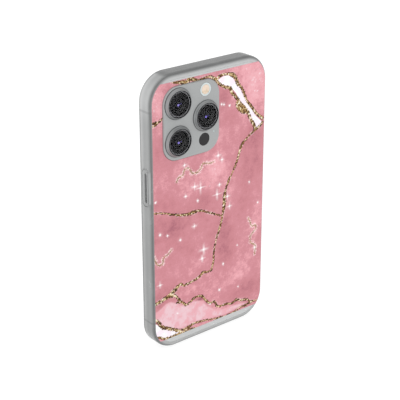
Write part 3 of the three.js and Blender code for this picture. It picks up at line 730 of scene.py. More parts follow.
def printed_film():
    """The picture: pink stone, white and pale stone, glitter veins, fine squiggles and sparkles."""
    finish = Finish("printed_film", IOR=1.3)
    where = finish.place()
    wash = finish.noise(where, 17, 4, 0.6)
    mottle = finish.noise(where, 4.2, 6, 0.7)
    stroke = finish.noise(finish.place((1, 1, 1.7), (31, 0, 7)), 2.2, 4, 0.75)
    fleck = finish.noise(where, 0.8, 4, 0.6)
    tone = finish.measure("rose") - finish.measure("light") * 0.6 + (wash - 0.5) * 1.1
    tone = tone + (mottle - 0.5) * 0.9 + (stroke - 0.5) * 0.75 + (fleck - 0.5) * 0.6
    picture = finish.ramp(finish.within(tone, -1, 1.25), [
        (0, colour(240, 188, 194)), (0.2, colour(230, 164, 172)), (0.42, colour(205, 137, 146)),
        (0.62, colour(199, 130, 138)), (0.8, colour(188, 120, 129)), (1, colour(160, 94, 108))])
    pale = finish.within(finish.measure("pale") + (mottle - 0.5) * 2.6, 0.7, -0.7)
    pale_stone = finish.blend(finish.within(mottle + (wash - 0.5), 0.36, 0.66), colour(230, 170, 179),
                              colour(235, 201, 208))
    picture = finish.blend(pale * 0.9, picture, pale_stone)
    white = finish.within(finish.measure("white") + (fleck - 0.5) * 0.8, 0.8, 0.4)
    white_stone = finish.blend(finish.within(mottle, 0.4, 0.62), colour(246, 232, 242),
                               colour(255, 252, 254))
    picture = finish.blend(white, picture, white_stone)
    specks = finish.noise(where, 1.5, 3, 0.65)
    frost = finish.within(finish.measure("light") * 1.8 + (specks - 0.5) * 6 + (mottle - 0.5) * 3, 1.5, 2.6)
    picture = finish.blend(frost * 0.6, picture, colour(252, 240, 244))
    grain = finish.grains(where, 0.78)
    crumbs = finish.grains(where, 0.42)
    gold = finish.measure("gold")
    shine = grain * 0.85 + crumbs * 0.45 - 0.2 - finish.within(gold, -0.4, 0.25) * 0.15
    glitter = finish.ramp(shine, [
        (0, colour(58, 34, 10)), (0.25, colour(98, 66, 26)), (0.45, colour(140, 102, 50)),
        (0.6, colour(184, 150, 96)), (0.75, colour(234, 214, 168)), (1, colour(255, 252, 240))])
    halo = finish.within(gold, 1, 0.1) * finish.within(finish.noise(where, 2.6, 3), 0.5, 0.62)
    picture = finish.blend(halo * 0.5, picture, colour(249, 222, 222))
    vein = finish.within(gold + (grain - 0.5) * 0.55 + (crumbs - 0.5) * 0.45, 0.22, 0.1)
    picture = finish.blend(vein, picture, glitter)
    squiggle = finish.measure("squiggle")
    speckle = finish.within(squiggle + (crumbs - 0.5) * 1.8 + (mottle - 0.5) * 2, 0.75, 0.2)
    picture = finish.blend(speckle * 0.7, picture, colour(252, 232, 230))
    thread = finish.within(squiggle + (grain - 0.5) * 0.4, 0.24, 0.1)
    picture = finish.blend(thread * 0.8, picture, finish.blend(0.3, glitter, colour(214, 172, 110)))
    picture = finish.blend(finish.measure("sparkle"), picture, colour(255, 253, 253))
    finish.vary("Base Color", picture)
    finish.vary("Roughness", 0.45 + (mottle - 0.5) * 0.08 - vein * 0.08)
    finish.bumps(vein * 0.5 + fleck * 0.12, 0.008)
    return finish.material


film_bm = film_sheet()
bend_over_edge(film_bm)
film = set_down(film_bm, "printed_back_film")
spots = np.array([(point.co.x / MM, (point.co.z - MIDDLE_Z) / MM) for point in film.data.vertices])
carry(film, "gold", off_veins(spots))
carry(film, "squiggle", off_squiggles(spots))
carry(film, "white", off_areas(spots, WHITE_STONE))
carry(film, "pale", off_areas(spots, PALE_STONE))
carry(film, "rose", clouds(spots, ROSE_CLOUDS))
carry(film, "light", clouds(spots, LIGHT_CLOUDS))
carry(film, "sparkle", sparkle_light(spots))
thickness = film.modifiers.new("thickness", "SOLIDIFY")
thickness.thickness = FILM_THICKNESS * MM
thickness.offset = -1
settle(film)
smooth(film, 50)
fit(film, "case", "printed_film", printed_film(), "print_film")

# ---- button covers ----
# Three soft plugs of the same clear moulding fill the slots over the handset's keys. Each has a raised
# bar for the fingertip with a groove beside it.
COVER_WIDTH = 4.9
COVER_LONGER = 0.3  # than the frame's cover, for a thinner gap
COVER_ROOT = 0.5  # how far its inner face stays off the handset
COVER_PROUD = 0.12
BAR_WIDTH = 1.5
BAR_MARGIN = 0.8
BAR_ROOT = 0.7
BAR_PROUD = 0.5
BAR_EDGE = 0.4
BAR_ASIDE = 1.65  # how far it sits from the wall's middle, towards the printed back
GROOVE_WIDTH = 2.2
GROOVE_MARGIN = 1.8
GROOVE_DEPTH = 0.95
GROOVE_ASIDE = 0.5
for key, side, z, length in key_places():
    cover = side_slab(side, length + COVER_LONGER, COVER_WIDTH, HANDSET_X + COVER_ROOT,
                      CASE_X + COVER_PROUD, MIDDLE_Y, z, outer_edge=COVER_PROUD)
    bar = side_slab(side, length - 2 * BAR_MARGIN, BAR_WIDTH, CASE_X - BAR_ROOT, CASE_X + BAR_PROUD,
                    MIDDLE_Y - BAR_ASIDE, z, outer_edge=BAR_EDGE)
    groove = side_slab(side, length - 2 * GROOVE_MARGIN, GROOVE_WIDTH, CASE_X - GROOVE_DEPTH,
                       CASE_X + PAST, MIDDLE_Y - GROOVE_ASIDE, z)
    pad = set_down(cover, key + "_soft_cover")
    work(pad, "UNION", bar)
    work(pad, "DIFFERENCE", groove)
    smooth(pad)
    fit(pad, key + "_cover", "clear_rubber", clear_rubber_finish, key + "_cover")

# ---- handset band ----
# The metal frame round the handset's edge, with its inner plate, is milled from one block and blasted
# to a satin grey. Slots are cut in it for the keys, the socket, the speakers and the antenna breaks.
BAND = 1.5
BAND_EDGE = 0.5
HANDSET_INSET = CASE_X - HANDSET_X
HANDSET_BACK_Y = handset_low.y / MM
HANDSET_FRONT_Y = handset_high.y / MM
INNER_GAP = 0.05  # between the band's metal and what is set against it
PLATE_FRONT_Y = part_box("display_panel")[0].y / MM - INNER_GAP
PLATE_BACK_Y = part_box("battery")[1].y / MM + INNER_GAP
KEY_PLAY = 0.4
KEY_NODES = {"side_button": "side_button", "volume_up": "volume_up_button",
             "volume_down": "volume_down_button"}


def band_blank():
    """The whole handset's outline as one block."""
    return case_slab(HANDSET_INSET, HANDSET_BACK_Y, HANDSET_FRONT_Y, back_edge=BAND_EDGE,
                     front_edge=BAND_EDGE, edge_steps=4)


def break_blocks(gap):
    """The stretch of band that each antenna break takes up, less a gap all round."""
    places = {"left_upper": (-1, 0), "left_lower": (-1, 0), "right_upper": (1, 0), "right_lower": (1, 0),
              "top": (0, 1), "bottom": (0, -1)}
    for name, (to_x, to_z) in places.items():
        x, z = place_of("antenna_break_" + name)
        width, _, height = size_of("antenna_break_" + name)
        x_low, x_high = x - width / 2 - gap - PAST * (to_x < 0), x + width / 2 + gap + PAST * (to_x > 0)
        z_low, z_high = z - height / 2 - gap - PAST * (to_z < 0), z + height / 2 + gap + PAST * (to_z > 0)
        yield name, block(x_low, x_high, HANDSET_BACK_Y - PAST, HANDSET_FRONT_Y + PAST, z_low, z_high)


def bottom_pin(x, radius, z_low, z_high, y, sides=20):
    """A round pin along the case's height."""
    bm = bmesh.new()
    bmesh.ops.create_cone(bm, cap_ends=True, segments=sides, radius1=radius, radius2=radius,
                          depth=z_high - z_low)
    shift(bm, x, y, (z_low + z_high) / 2)
    return bm


def band_metal():
    finish = Finish("band_metal", Base_Color=colour(150, 152, 153), Metallic=0.85)
    where = finish.place()
    blasted = finish.noise(where, 0.25, 3, 0.6)
    finish.vary("Roughness", 0.42 + (blasted - 0.5) * 0.2 + (finish.noise(where, 9) - 0.5) * 0.08)
    finish.bumps(blasted, 0.004)
    return finish.material


def band_plastic():
    finish = Finish("band_plastic")
    where = finish.place()
    finish.clouded(where, 3, 3, (112, 114, 115), (124, 126, 127))
    finish.worn(where, 0.3, 0.5, 0.2, 3)
    return finish.material


band_metal_finish = band_metal()
inside = HANDSET_INSET + BAND
band_inner = BOTTOM + HANDSET_INSET + BAND + PAST
band = set_down(band_blank(), "handset_band")
work(band, "DIFFERENCE", case_slab(inside, HANDSET_BACK_Y - PAST, PLATE_BACK_Y),
     case_slab(inside, PLATE_FRONT_Y, HANDSET_FRONT_Y + PAST),
     *(shape for _, shape in break_blocks(INNER_GAP)))
PORT_WIDTH, PORT_HEIGHT, _ = size_of("port_shell")
PORT_LOW, PORT_TOP = ends_of("port_shell")
PORT_PLAY = 0.3
work(band, "DIFFERENCE",
     bottom_slab(PORT_WIDTH + PORT_PLAY, PORT_HEIGHT + PORT_PLAY, BOTTOM, PORT_TOP + PAST, 0, MIDDLE_Y))
for key, side, z, _ in key_places():
    _, key_width, key_length = size_of(KEY_NODES[key])
    work(band, "DIFFERENCE", side_slab(side, key_length + KEY_PLAY, key_width + KEY_PLAY,
                                       HANDSET_X - BAND - PAST, HANDSET_X + PAST, MIDDLE_Y, z))
SWITCH_SLOT = (6.4, 3.4)
work(band, "DIFFERENCE",
     side_slab(1, *SWITCH_SLOT, HANDSET_X - BAND - PAST, HANDSET_X + PAST, MIDDLE_Y, SWITCH_Z))
SPEAKER_HOLES = 6
SPEAKER_PITCH = 2.3
SPEAKER_RADIUS = 0.7
SCREW_X = 6.4
SCREW_HOLE = 0.9
for side in (-1, 1):
    work(band, "DIFFERENCE", bottom_pin(side * SCREW_X, SCREW_HOLE, BOTTOM, band_inner, MIDDLE_Y))
    for hole in range(SPEAKER_HOLES):
        x = SPEAKER_X + (hole - (SPEAKER_HOLES - 1) / 2) * SPEAKER_PITCH
        work(band, "DIFFERENCE", bottom_pin(side * x, SPEAKER_RADIUS, BOTTOM, band_inner, MIDDLE_Y))
smooth(band)
fit(band, "handset", "band_metal", band_metal_finish, "handset_frame")
band_plastic_finish = band_plastic()
for name, shape in break_blocks(0):
    inlay = work(set_down(band_blank(), "antenna_inlay_" + name), "INTERSECT", shape)
    smooth(inlay)
    fit(inlay, "handset", "band_plastic", band_plastic_finish, "antenna_break_" + name)

# ---- keys and ringer switch ----
# The handset's own keys and its switch are small metal bars of the band's finish. They stand a little
# proud of the band, under the soft covers and inside the open slot.
KEY_ROOT = 1.3
KEY_PROUD = 0.35
KEY_EDGE = 0.3
for key, side, z, _ in key_places():
    node = KEY_NODES[key]
    _, key_width, key_length = size_of(node)
    bar = set_down(side_slab(side, key_length, key_width, HANDSET_X - KEY_ROOT, HANDSET_X + KEY_PROUD,
                             MIDDLE_Y, z, outer_edge=KEY_EDGE), key + "_metal_key")
    smooth(bar)
    fit(bar, node, "band_metal", band_metal_finish, node)
LEVER = (5.4, 2)
LEVER_PROUD = 0.55
LEVER_EDGE = 0.2
NOTCH_FLOOR = 0.43  # how far the bottom of each finger groove stands off the band
NOTCH_PITCH = 0.6
switch_low, switch_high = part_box("ringer_switch")
switch_y = (switch_low.y + switch_high.y) / 2 / MM
lever = set_down(side_slab(1, *LEVER, HANDSET_X - KEY_ROOT, HANDSET_X + LEVER_PROUD, switch_y, SWITCH_Z,
                           outer_edge=LEVER_EDGE), "ringer_lever")
for step in range(-2, 3):
    middle = SWITCH_Z + step * NOTCH_PITCH
    notch = block(HANDSET_X + NOTCH_FLOOR, HANDSET_X + PAST, switch_y - 1.4, switch_y + 1.3,
                  middle - 0.12, middle + 0.11)
    work(lever, "DIFFERENCE", notch)
smooth(lever)
fit(lever, "ringer_switch", "band_metal", band_metal_finish, "ringer_switch")


# ---- back glass and camera plateau ----
# The handset's back is one sheet of etched glass, and the raised plateau round the cameras is ground
# from the same glass, with a soft rounded rim and holes for the lenses, the flash and the sensor.
def clothe(node, finish):
    """Gives a part of the frame a finish."""
    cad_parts[node].data.materials.clear()
    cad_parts[node].data.materials.append(finish)


def disc(x, z, radius, y_low, y_high, sides=48):
    """A round pin along the case's depth."""
    bm = bottom_pin(0, radius, y_low, y_high, 0, sides)
    turn(bm, -1, "X")
    shift(bm, x, 0, z)
    return bm


def satin_glass():
    finish = Finish("satin_glass", IOR=1.35)
    where = finish.place()
    etched = finish.noise(where, 0.12)
    finish.clouded(where, 11, 3, (160, 162, 162), (168, 170, 170))
    finish.vary("Roughness", 0.48 + (etched - 0.5) * 0.15)
    finish.bumps(etched, 0.002)
    return finish.material


satin_glass_finish = satin_glass()
clothe("back_glass", satin_glass_finish)
PLATEAU_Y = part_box("camera_plateau")[0].y / MM
PLATEAU_EDGE = 0.95
LENS_NAMES = ("1", "2", "3")
LENS_HOLE = 8.2
OTHER_HOLES = {"flash_diffuser": 3.5, "depth_sensor_window": 3.4, "camera_microphone": 0.55}
plateau = set_down(cutout_slab(0, PLATEAU_Y, POCKET_Y, back_edge=PLATEAU_EDGE, edge_steps=7),
                   "camera_plateau_glass")
for name in LENS_NAMES:
    work(plateau, "DIFFERENCE", disc(*place_of("lens_ring_" + name), LENS_HOLE, PLATEAU_Y - PAST,
                                     POCKET_Y + PAST, 72))
for node, radius in OTHER_HOLES.items():
    work(plateau, "DIFFERENCE", disc(*place_of(node), radius, PLATEAU_Y - PAST, POCKET_Y + PAST))
smooth(plateau)
fit(plateau, "handset", "satin_glass", satin_glass_finish, "camera_plateau")


# ---- camera lenses ----
# Each camera has a sloping flange with painted shade at its foot, a polished dark ring turned from steel, a
# thin retaining ring, a stepped black barrel with painted light on one side of its steps, a small coated
# front element with two small domes that carry painted violet glints, and a flat cover glass. All three are
# the same.
def turned(profile, x, z, y, steps=72):
    """A turned piece that faces out of the back. Its profile gives radius and height over y."""
    bm = bmesh.new()
    line = [bm.verts.new((x + radius, y - height, z)) for radius, height in profile]
    edges = [bm.edges.new(pair) for pair in zip(line, line[1:])]
    bmesh.ops.spin(bm, geom=line + edges, cent=(x, y, z), axis=(0, 1, 0), angle=2 * math.pi, steps=steps,
                   use_merge=True)
    bmesh.ops.remove_doubles(bm, verts=bm.verts, dist=1e-4)
    bmesh.ops.recalc_face_normals(bm, faces=bm.faces)
    return bm


def ring_metal():
    finish = Finish("ring_metal", Metallic=1.0)
    where = finish.place()
    finish.clouded(where, 5, 2, (54, 54, 56), (64, 64, 66))
    finish.worn(where, 0.15, 0.24, 0.12)
    return finish.material


def retainer_metal():
    finish = Finish("retainer_metal", Metallic=0.8)
    where = finish.place()
    finish.clouded(where, 3, 2, (104, 104, 104), (122, 122, 122))
    finish.worn(where, 0.2, 0.35, 0.1)
    return finish.material


def flange_metal():
    finish = Finish("flange_metal", Metallic=0.7)
    where = finish.place()
    _, y, _ = finish.axes(where)
    satin = finish.blend(finish.noise(where, 6), colour(144, 146, 147), colour(156, 158, 159))
    # Painted shade: the flange darkens at its foot, where it meets the plateau.
    painted_foot_shade = finish.within(y, PLATEAU_Y - 0.5, PLATEAU_Y - 0.2)
    finish.vary("Base Color", finish.blend(painted_foot_shade * 0.75, satin, colour(70, 72, 73)))
    finish.worn(where, 0.2, 0.4, 0.12)
    return finish.material


def barrel_black():
    """Black, with the soft light that falls on one side of a lens barrel's steps."""
    finish = Finish("barrel_black", Specular_IOR_Level=0.12)
    where = finish.place()
    black = finish.blend(finish.noise(where, 1.2, 3), colour(15, 15, 16), colour(18, 18, 19))
    finish.vary("Base Color", finish.blend(finish.measure("lit"), black, colour(74, 74, 73)))
    finish.worn(where, 0.3, 0.5, 0.2)
    return finish.material


def lens_glass():
    finish = Finish("lens_glass", Base_Color=colour(242, 242, 245), Roughness=0.0, IOR=1.15,
                    Transmission_Weight=1.0)
    finish.bumps(finish.noise(finish.place(), 6, 1), 0.0005)
    return finish.material


def element_coating(name, first, second, metallic):
    """The dark tint of the glass inside a lens. Given violet shades, the same finish makes the painted
    glints on the small domes over the front element.
    """
    finish = Finish(name, Metallic=metallic, Specular_IOR_Level=0.15)
    where = finish.place()
    finish.clouded(where, 2, 2, first, second)
    finish.vary("Roughness", 0.12 + finish.noise(where, 1.5) * 0.08)
    return finish.material


# Each profile: radius and height over the plateau, from the middle outwards and back.
SEAT = PLATEAU_Y - POCKET_Y
FLANGE = [(7.02, SEAT), (8.1, SEAT), (8.1, 0.05), (8.04, 0.2), (7.9, 0.36), (7.72, 0.5), (7.5, 0.8),
          (7.32, 1.3), (7.2, 1.6), (7.12, 1.7), (7.02, 1.72), (7.02, SEAT)]
RING = [(6.6, SEAT), (7, SEAT), (7, 1.75), (6.97, 1.88), (6.9, 1.97), (6.8, 2), (6.7, 1.96), (6.6, 1.84),
        (6.6, SEAT)]
RETAINER = [(5.95, 1.16), (6.46, 1.16), (6.46, 1.34), (6.2, 1.3), (5.95, 1.24), (5.95, 1.16)]
BARREL = [(0, SEAT), (6.45, SEAT), (6.45, 1.15), (5.75, 1.1), (5.7, 0.95), (5.3, 0.9), (5.25, 0.6),
          (4.8, 0.55), (4.72, 0.2), (4.2, 0.15), (4.12, -0.15), (3.5, -0.2), (3.4, -0.55), (0, -0.55)]
ELEMENT = [(0, -0.5), (3.3, -0.5), (3.3, -0.3), (3, -0.12), (2.4, 0.12), (1.6, 0.3), (0.8, 0.4), (0, 0.43)]
PAINTED_GLINT_DOME = [(0, 0.3), (0.62, 0.26), (0.62, 0.42), (0.45, 0.5), (0.2, 0.54), (0, 0.55)]
PAINTED_FAINT_GLINT_DOME = [(0, 0.2), (0.5, 0.18), (0.5, 0.3), (0.3, 0.36), (0, 0.38)]
COVER = [(0, 1.35), (6.5, 1.35), (6.55, 1.4), (6.55, 1.68), (6.5, 1.73), (0, 1.73)]
ring_metal_finish = ring_metal()
flange_finish = flange_metal()
retainer_finish = retainer_metal()
barrel_finish = barrel_black()
lens_glass_finish = lens_glass()
element_finish = element_coating("element_coating", (12, 12, 15), (18, 18, 22), 0)
# Painted reflections: two small violet domes on each front element stand in for the glints of light on its
# coating.
painted_glint_finish = element_coating("pupil_coating", (128, 108, 240), (190, 176, 255), 0.2)
painted_faint_glint_finish = element_coating("ghost_coating", (52, 42, 104), (72, 58, 140), 0.2)
LIT_SIDE = (0.8, -0.6)
LIT_RADIUS = 4.3
LIT_WIDTH = 0.8
for name in LENS_NAMES:
    x, z = place_of("lens_ring_" + name)
    for piece_name, profile, slot, finish, (to_x, to_z), nodes in (
            ("lens_flange_", FLANGE, "ring_metal", flange_finish, (0, 0), ()),
            ("lens_bezel_", RING, "ring_metal", ring_metal_finish, (0, 0), ("lens_ring_" + name,)),
            ("lens_retainer_", RETAINER, "ring_metal", retainer_finish, (0, 0), ()),
            ("lens_tube_", BARREL, "barrel_black", barrel_finish, (0, 0), ("lens_barrel_" + name,)),
            ("lens_element_", ELEMENT, "lens_glass", element_finish, (0, 0), ()),
            ("lens_pupil_", PAINTED_GLINT_DOME, "lens_glass", painted_glint_finish, (-0.1, -0.55), ()),
            ("lens_ghost_", PAINTED_FAINT_GLINT_DOME, "lens_glass", painted_faint_glint_finish, (1.4, -0.25), ()),
            ("lens_cover_", COVER, "lens_glass", lens_glass_finish, (0, 0), ("lens_glass_" + name,))):
        piece = smooth(set_down(turned(profile, x + to_x, z + to_z, PLATEAU_Y), piece_name + name))
        if profile is BARREL:
            spots = np.array([(point.co.x / MM - x, (point.co.z - MIDDLE_Z) / MM - z)
                              for point in piece.data.vertices])
            radius = np.maximum(np.linalg.norm(spots, axis=1), 0.1)
            facing = np.clip((spots @ LIT_SIDE) / radius, 0, 1) ** 2
            carry(piece, "lit", facing * np.exp(-((radius - LIT_RADIUS) / LIT_WIDTH) ** 2))
        fit(piece, "handset", slot, finish, *nodes)


# ---- flash, sensor and microphone ----
# A warm ribbed diffuser in a pale ring covers the flash lamps. A dark filter window covers the depth
# sensor, and the microphone's port is a small pale cup.
def warm_diffuser():
    finish = Finish("warm_diffuser", IOR=1.4)
    where = finish.place()
    lamps = finish.within(finish.noise(where, 2.4), 0.42, 0.6)
    finish.vary("Base Color", finish.blend(lamps, colour(232, 212, 194), colour(216, 196, 170)))
    finish.worn(where, 0.4, 0.35, 0.1)
    return finish.material


def pale_ring():
    finish = Finish("pale_ring", Metallic=0.3)
    where = finish.place()
    finish.clouded(where, 3, 2, (200, 210, 210), (214, 222, 222))
    finish.worn(where, 0.3, 0.3, 0.1)
    return finish.material


def sensor_black():
    finish = Finish("sensor_black", IOR=1.3)
    where = finish.place()
    finish.clouded(where, 4, 2, (38, 38, 39), (46, 46, 47))
    finish.worn(where, 1, 0.22, 0.06)
    return finish.material


RIB_STEP = 0.3
RIB_COUNT = 8
RIBS = [(0, SEAT), (2.45, SEAT), (2.45, 0.02)]
for rib in range(RIB_COUNT, 0, -1):
    RIBS += [(rib * RIB_STEP, 0.06), ((rib - 0.5) * RIB_STEP, 0.11)]
RIBS.append((0, 0.06))
x, z = place_of("flash_diffuser")
diffuser = smooth(set_down(turned(RIBS, x, z, PLATEAU_Y), "flash_lens"), 80)
fit(diffuser, "handset", "warm_diffuser", warm_diffuser(), "flash_diffuser")
FLASH_RING = [(2.5, SEAT), (3.4, SEAT), (3.4, 0.06), (3.32, 0.12), (2.6, 0.12), (2.5, 0.04), (2.5, SEAT)]
flash_ring = smooth(set_down(turned(FLASH_RING, x, z, PLATEAU_Y), "flash_ring"))
pale_ring_finish = pale_ring()
fit(flash_ring, "handset", "satin_glass", pale_ring_finish)
SENSOR = [(0, SEAT), (3.3, SEAT), (3.3, -0.02), (3.22, 0.05), (0, 0.05)]
sensor = smooth(set_down(turned(SENSOR, *place_of("depth_sensor_window"), PLATEAU_Y),
                         "depth_sensor_filter"))
fit(sensor, "handset", "sensor_black", sensor_black(), "depth_sensor_window")
CUP = [(0, SEAT), (0.5, SEAT), (0.5, 0), (0.32, 0), (0.3, -0.5), (0, -0.5)]
cup = smooth(set_down(turned(CUP, *place_of("camera_microphone"), PLATEAU_Y, 32), "microphone_port"))
fit(cup, "handset", "barrel_black", pale_ring_finish, "camera_microphone")


# ---- screen ----
# The screen is a black glass sheet with a soft rim, set in the band over the display panel. It has a
# round window for the front camera and a narrow slot with a punched mesh for the earpiece.
def screen_glass():
    finish = Finish("screen_glass", Base_Color=colour(12, 12, 14), IOR=1.5)
    wiped = finish.noise(finish.place((1, 1, 0.3)), 18, 3, 0.6)
    finish.vary("Roughness", 0.04 + finish.within(wiped, 0.5, 0.75) * 0.05)
    finish.bumps(finish.noise(finish.place(), 25, 1), 0.002)
    return finish.material


def screen_panel():
    finish = Finish("screen_panel", Roughness=0.5)
    finish.clouded(finish.place(), 6, 2, (14, 14, 16), (20, 20, 22))
    return finish.material


glass_low, glass_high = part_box("display_glass")
GLASS_LOW, GLASS_HIGH = glass_low.y / MM, glass_high.y / MM
camera_x, camera_z = place_of("front_camera_window")
earpiece_x, earpiece_z = place_of("earpiece_mesh")
SCREEN_EDGE = 0.25
WINDOW_HOLE = 2.1
EARPIECE_SLOT = (11.3, 1.2, 0.59)
screen = set_down(case_slab(CASE_X - glass_high.x / MM, GLASS_LOW, GLASS_HIGH, front_edge=SCREEN_EDGE,
                            edge_steps=4), "screen_glass_sheet")
work(screen, "DIFFERENCE", disc(camera_x, camera_z, WINDOW_HOLE, GLASS_LOW - PAST, GLASS_HIGH + PAST),
     slab(*EARPIECE_SLOT, GLASS_LOW - PAST, GLASS_HIGH + PAST, earpiece_x, earpiece_z))
smooth(screen)
fit(screen, "handset", "screen_glass", screen_glass(), "display_glass")
clothe("display_panel", screen_panel())
FRONT_WINDOW = [(0, 0), (2, 0), (2, -0.62), (1.9, -0.72), (0, -0.72)]
window = smooth(set_down(turned(FRONT_WINDOW, camera_x, camera_z, GLASS_LOW), "front_camera_glass"))
fit(window, "handset", "lens_glass", element_finish, "front_camera_window")
EARPIECE_MESH = (11, 0.9, 0.44)
PUNCH_PITCH = 0.44
PUNCH_RADIUS = 0.13
PUNCH_DEPTH = 0.3
mesh_low, mesh_high = (corner.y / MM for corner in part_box("earpiece_mesh"))
earpiece = set_down(slab(*EARPIECE_MESH, mesh_low, mesh_high, earpiece_x, earpiece_z),
                    "earpiece_punched_mesh")
for row in (-0.18, 0.18):
    for hole in range(-11, 12):
        x = earpiece_x + hole * PUNCH_PITCH + (PUNCH_PITCH / 2 if row > 0 else 0)
        work(earpiece, "DIFFERENCE", disc(x, earpiece_z + row, PUNCH_RADIUS, mesh_high - PUNCH_DEPTH,
                                          mesh_high + PAST, 6))
smooth(earpiece)
fit(earpiece, "handset", "barrel_black", barrel_finish, "earpiece_mesh")


# ---- socket and screws ----
# The charging socket is a drawn metal tube with a contact tongue in it, held between two small screws
# in the bottom of the band.
def socket_metal():
    finish = Finish("socket_metal", Base_Color=colour(168, 168, 166), Metallic=0.9)
    drawn = finish.noise(finish.place((4, 4, 0.6)), 0.5, 3)
    finish.vary("Roughness", 0.32 + (drawn - 0.5) * 0.2)
    finish.bumps(drawn, 0.002)
    return finish.material


def contact_gold():
    finish = Finish("contact_gold", Base_Color=colour(214, 178, 104), Metallic=1.0)
    finish.worn(finish.place(), 0.4, 0.28, 0.12)
    return finish.material


socket_finish = socket_metal()
PORT_WALL = 0.3
socket = set_down(bottom_slab(PORT_WIDTH, PORT_HEIGHT, PORT_LOW, PORT_TOP, 0, MIDDLE_Y), "socket_tube")
work(socket, "DIFFERENCE",
     bottom_slab(PORT_WIDTH - 2 * PORT_WALL, PORT_HEIGHT - 2 * PORT_WALL, PORT_LOW - PAST,
                 PORT_TOP - PORT_WALL, 0, MIDDLE_Y))
smooth(socket)
fit(socket, "handset", "socket_metal", socket_finish, "port_shell")
TONGUE_LOW, TONGUE_HIGH = ends_of("port_tongue")
TONGUE_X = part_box("port_tongue")[1].x / MM
TONGUE_Y = 0.35
TONGUE_EDGE = 0.12
tongue_shape = block(-TONGUE_X, TONGUE_X, MIDDLE_Y - TONGUE_Y, MIDDLE_Y + TONGUE_Y, TONGUE_LOW,
                     TONGUE_HIGH)
bmesh.ops.bevel(tongue_shape, geom=tongue_shape.edges[:], offset=TONGUE_EDGE, affect="EDGES", segments=2,
                profile=0.5, material=-1)
tongue = smooth(set_down(tongue_shape, "socket_tongue"))
fit(tongue, "handset", "barrel_black", barrel_finish, "port_tongue")
CONTACTS = 8
CONTACT_PITCH = 0.7
CONTACT = (0.32, 0.08, 3.2)
CONTACT_UP = 2.1
contacts = bmesh.new()
for face_y in (MIDDLE_Y - TONGUE_Y, MIDDLE_Y + TONGUE_Y):
    for count in range(CONTACTS):
        middle = (count - (CONTACTS - 1) / 2) * CONTACT_PITCH
        made = bmesh.ops.create_cube(contacts, size=1)["verts"]
        bmesh.ops.scale(contacts, vec=CONTACT, verts=made)
        bmesh.ops.translate(contacts, vec=(middle, face_y, TONGUE_LOW + CONTACT_UP), verts=made)
contact_strips = set_down(contacts, "socket_contacts")
fit(contact_strips, "handset", "socket_metal", contact_gold())
SCREW_RADIUS = 0.75
SCREW_EDGE = 0.12
SCREW_SOCKET = 0.36
SCREW_SOCKET_DEPTH = 0.5
for side, name in ((-1, "left"), (1, "right")):
    z_low, z_high = ends_of("bottom_screw_" + name)
    head = bottom_pin(side * SCREW_X, SCREW_RADIUS, z_low, z_high, MIDDLE_Y, 32)
    rim_edges = [edge for edge in head.edges if all(v.co.z < z_low + 0.01 for v in edge.verts)]
    bmesh.ops.bevel(head, geom=rim_edges, offset=SCREW_EDGE, affect="EDGES", segments=3, profile=0.5,
                    material=-1)
    screw = set_down(head, "edge_screw_" + name)
    work(screw, "DIFFERENCE",
         bottom_pin(side * SCREW_X, SCREW_SOCKET, z_low - SCREW_SOCKET_DEPTH, z_low + SCREW_SOCKET_DEPTH,
                    MIDDLE_Y, 6))
    smooth(screw)
    fit(screw, "handset", "socket_metal", socket_finish, "bottom_screw_" + name)


# ---- battery and main board ----
# Inside the band the handset holds a foil-wrapped battery and a lacquered circuit board. Both stay as
# plain blocks, because nothing shows of them while the handset is closed.
def battery_wrap():
    finish = Finish("battery_wrap", Base_Color=colour(38, 38, 40))
    creased = finish.noise(finish.place((1, 1, 0.4)), 5, 4, 0.6)
    finish.vary("Roughness", 0.45 + (creased - 0.5) * 0.3)
    finish.bumps(creased, 0.05)
    return finish.material


def board_lacquer():
    finish = Finish("board_lacquer")
    where = finish.place()
    tracks = finish.within(finish.grains(where, 1.6), 0.55, 0.6)
    finish.vary("Base Color", finish.blend(tracks, colour(26, 58, 40), colour(52, 92, 62)))
    finish.vary("Roughness", 0.35 + tracks * 0.15)
    finish.bumps(tracks, 0.03)
    return finish.material


clothe("battery", battery_wrap())
clothe("main_board", board_lacquer())

# ---- camera ----
# A long lens, a little above the case and to the left of its printed back.
VIEW_AZIMUTH = math.radians(-39.006)
VIEW_ELEVATION = math.radians(23.434)
VIEW_DISTANCE = 582.23
VIEW_TARGET = Vector((-3.11, 1.5, 2.08))
LENS_MM = 100.63

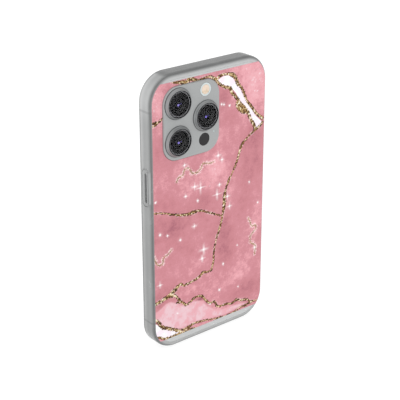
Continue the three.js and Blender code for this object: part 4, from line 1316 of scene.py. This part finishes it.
camera_data = bpy.data.cameras.new("camera")
camera_data.lens = LENS_MM
camera_data.sensor_width = 36
camera_data.clip_start = 0.01
camera = bpy.data.objects.new("camera", camera_data)
bpy.context.collection.objects.link(camera)
towards_camera = Vector((
    math.sin(VIEW_AZIMUTH) * math.cos(VIEW_ELEVATION),
    -math.cos(VIEW_AZIMUTH) * math.cos(VIEW_ELEVATION),
    math.sin(VIEW_ELEVATION),
))
target = VIEW_TARGET * MM + Vector((0, 0, MIDDLE_Z))
camera.location = target + towards_camera * VIEW_DISTANCE * MM
camera.rotation_euler = towards_camera.to_track_quat("Z", "Y").to_euler()
bpy.context.scene.camera = camera
bpy.context.scene.view_settings.view_transform = "Standard"

# ---- studio ----
# A white light table for a floor, an even white surround and two large soft lights.
floor_mesh = bpy.data.meshes.new("floor")
floor_shape = bmesh.new()
bmesh.ops.create_grid(floor_shape, x_segments=1, y_segments=1, size=6)
floor_shape.to_mesh(floor_mesh)
floor_shape.free()
floor = bpy.data.objects.new("floor", floor_mesh)
bpy.context.collection.objects.link(floor)
floor_finish = Finish("floor_paint", Base_Color=(0.3, 0.3, 0.3, 1), Roughness=0.9,
                      Emission_Color=(1, 1, 1, 1), Emission_Strength=0.8)
floor.data.materials.append(floor_finish.material)

world = bpy.data.worlds.new("surround")
bpy.context.scene.world = world
world.use_nodes = True
world.node_tree.nodes["Background"].inputs["Color"].default_value = (1, 1, 1, 1)
world.node_tree.nodes["Background"].inputs["Strength"].default_value = 1.0


def soft_light(name, azimuth, elevation, distance, size, power):
    """A square soft light that faces the case's middle."""
    data = bpy.data.lights.new(name, "AREA")
    data.size = size
    data.energy = power
    lamp = bpy.data.objects.new(name, data)
    bpy.context.collection.objects.link(lamp)
    round_by, rise = math.radians(azimuth), math.radians(elevation)
    away = Vector((math.sin(round_by) * math.cos(rise), -math.cos(round_by) * math.cos(rise),
                   math.sin(rise)))
    lamp.location = Vector((0, 0, MIDDLE_Z)) + away * distance
    lamp.rotation_euler = away.to_track_quat("Z", "Y").to_euler()


soft_light("key_light", 25, 40, 0.9, 0.6, 0.4)
soft_light("left_light", -95, 20, 0.9, 0.6, 0.3)
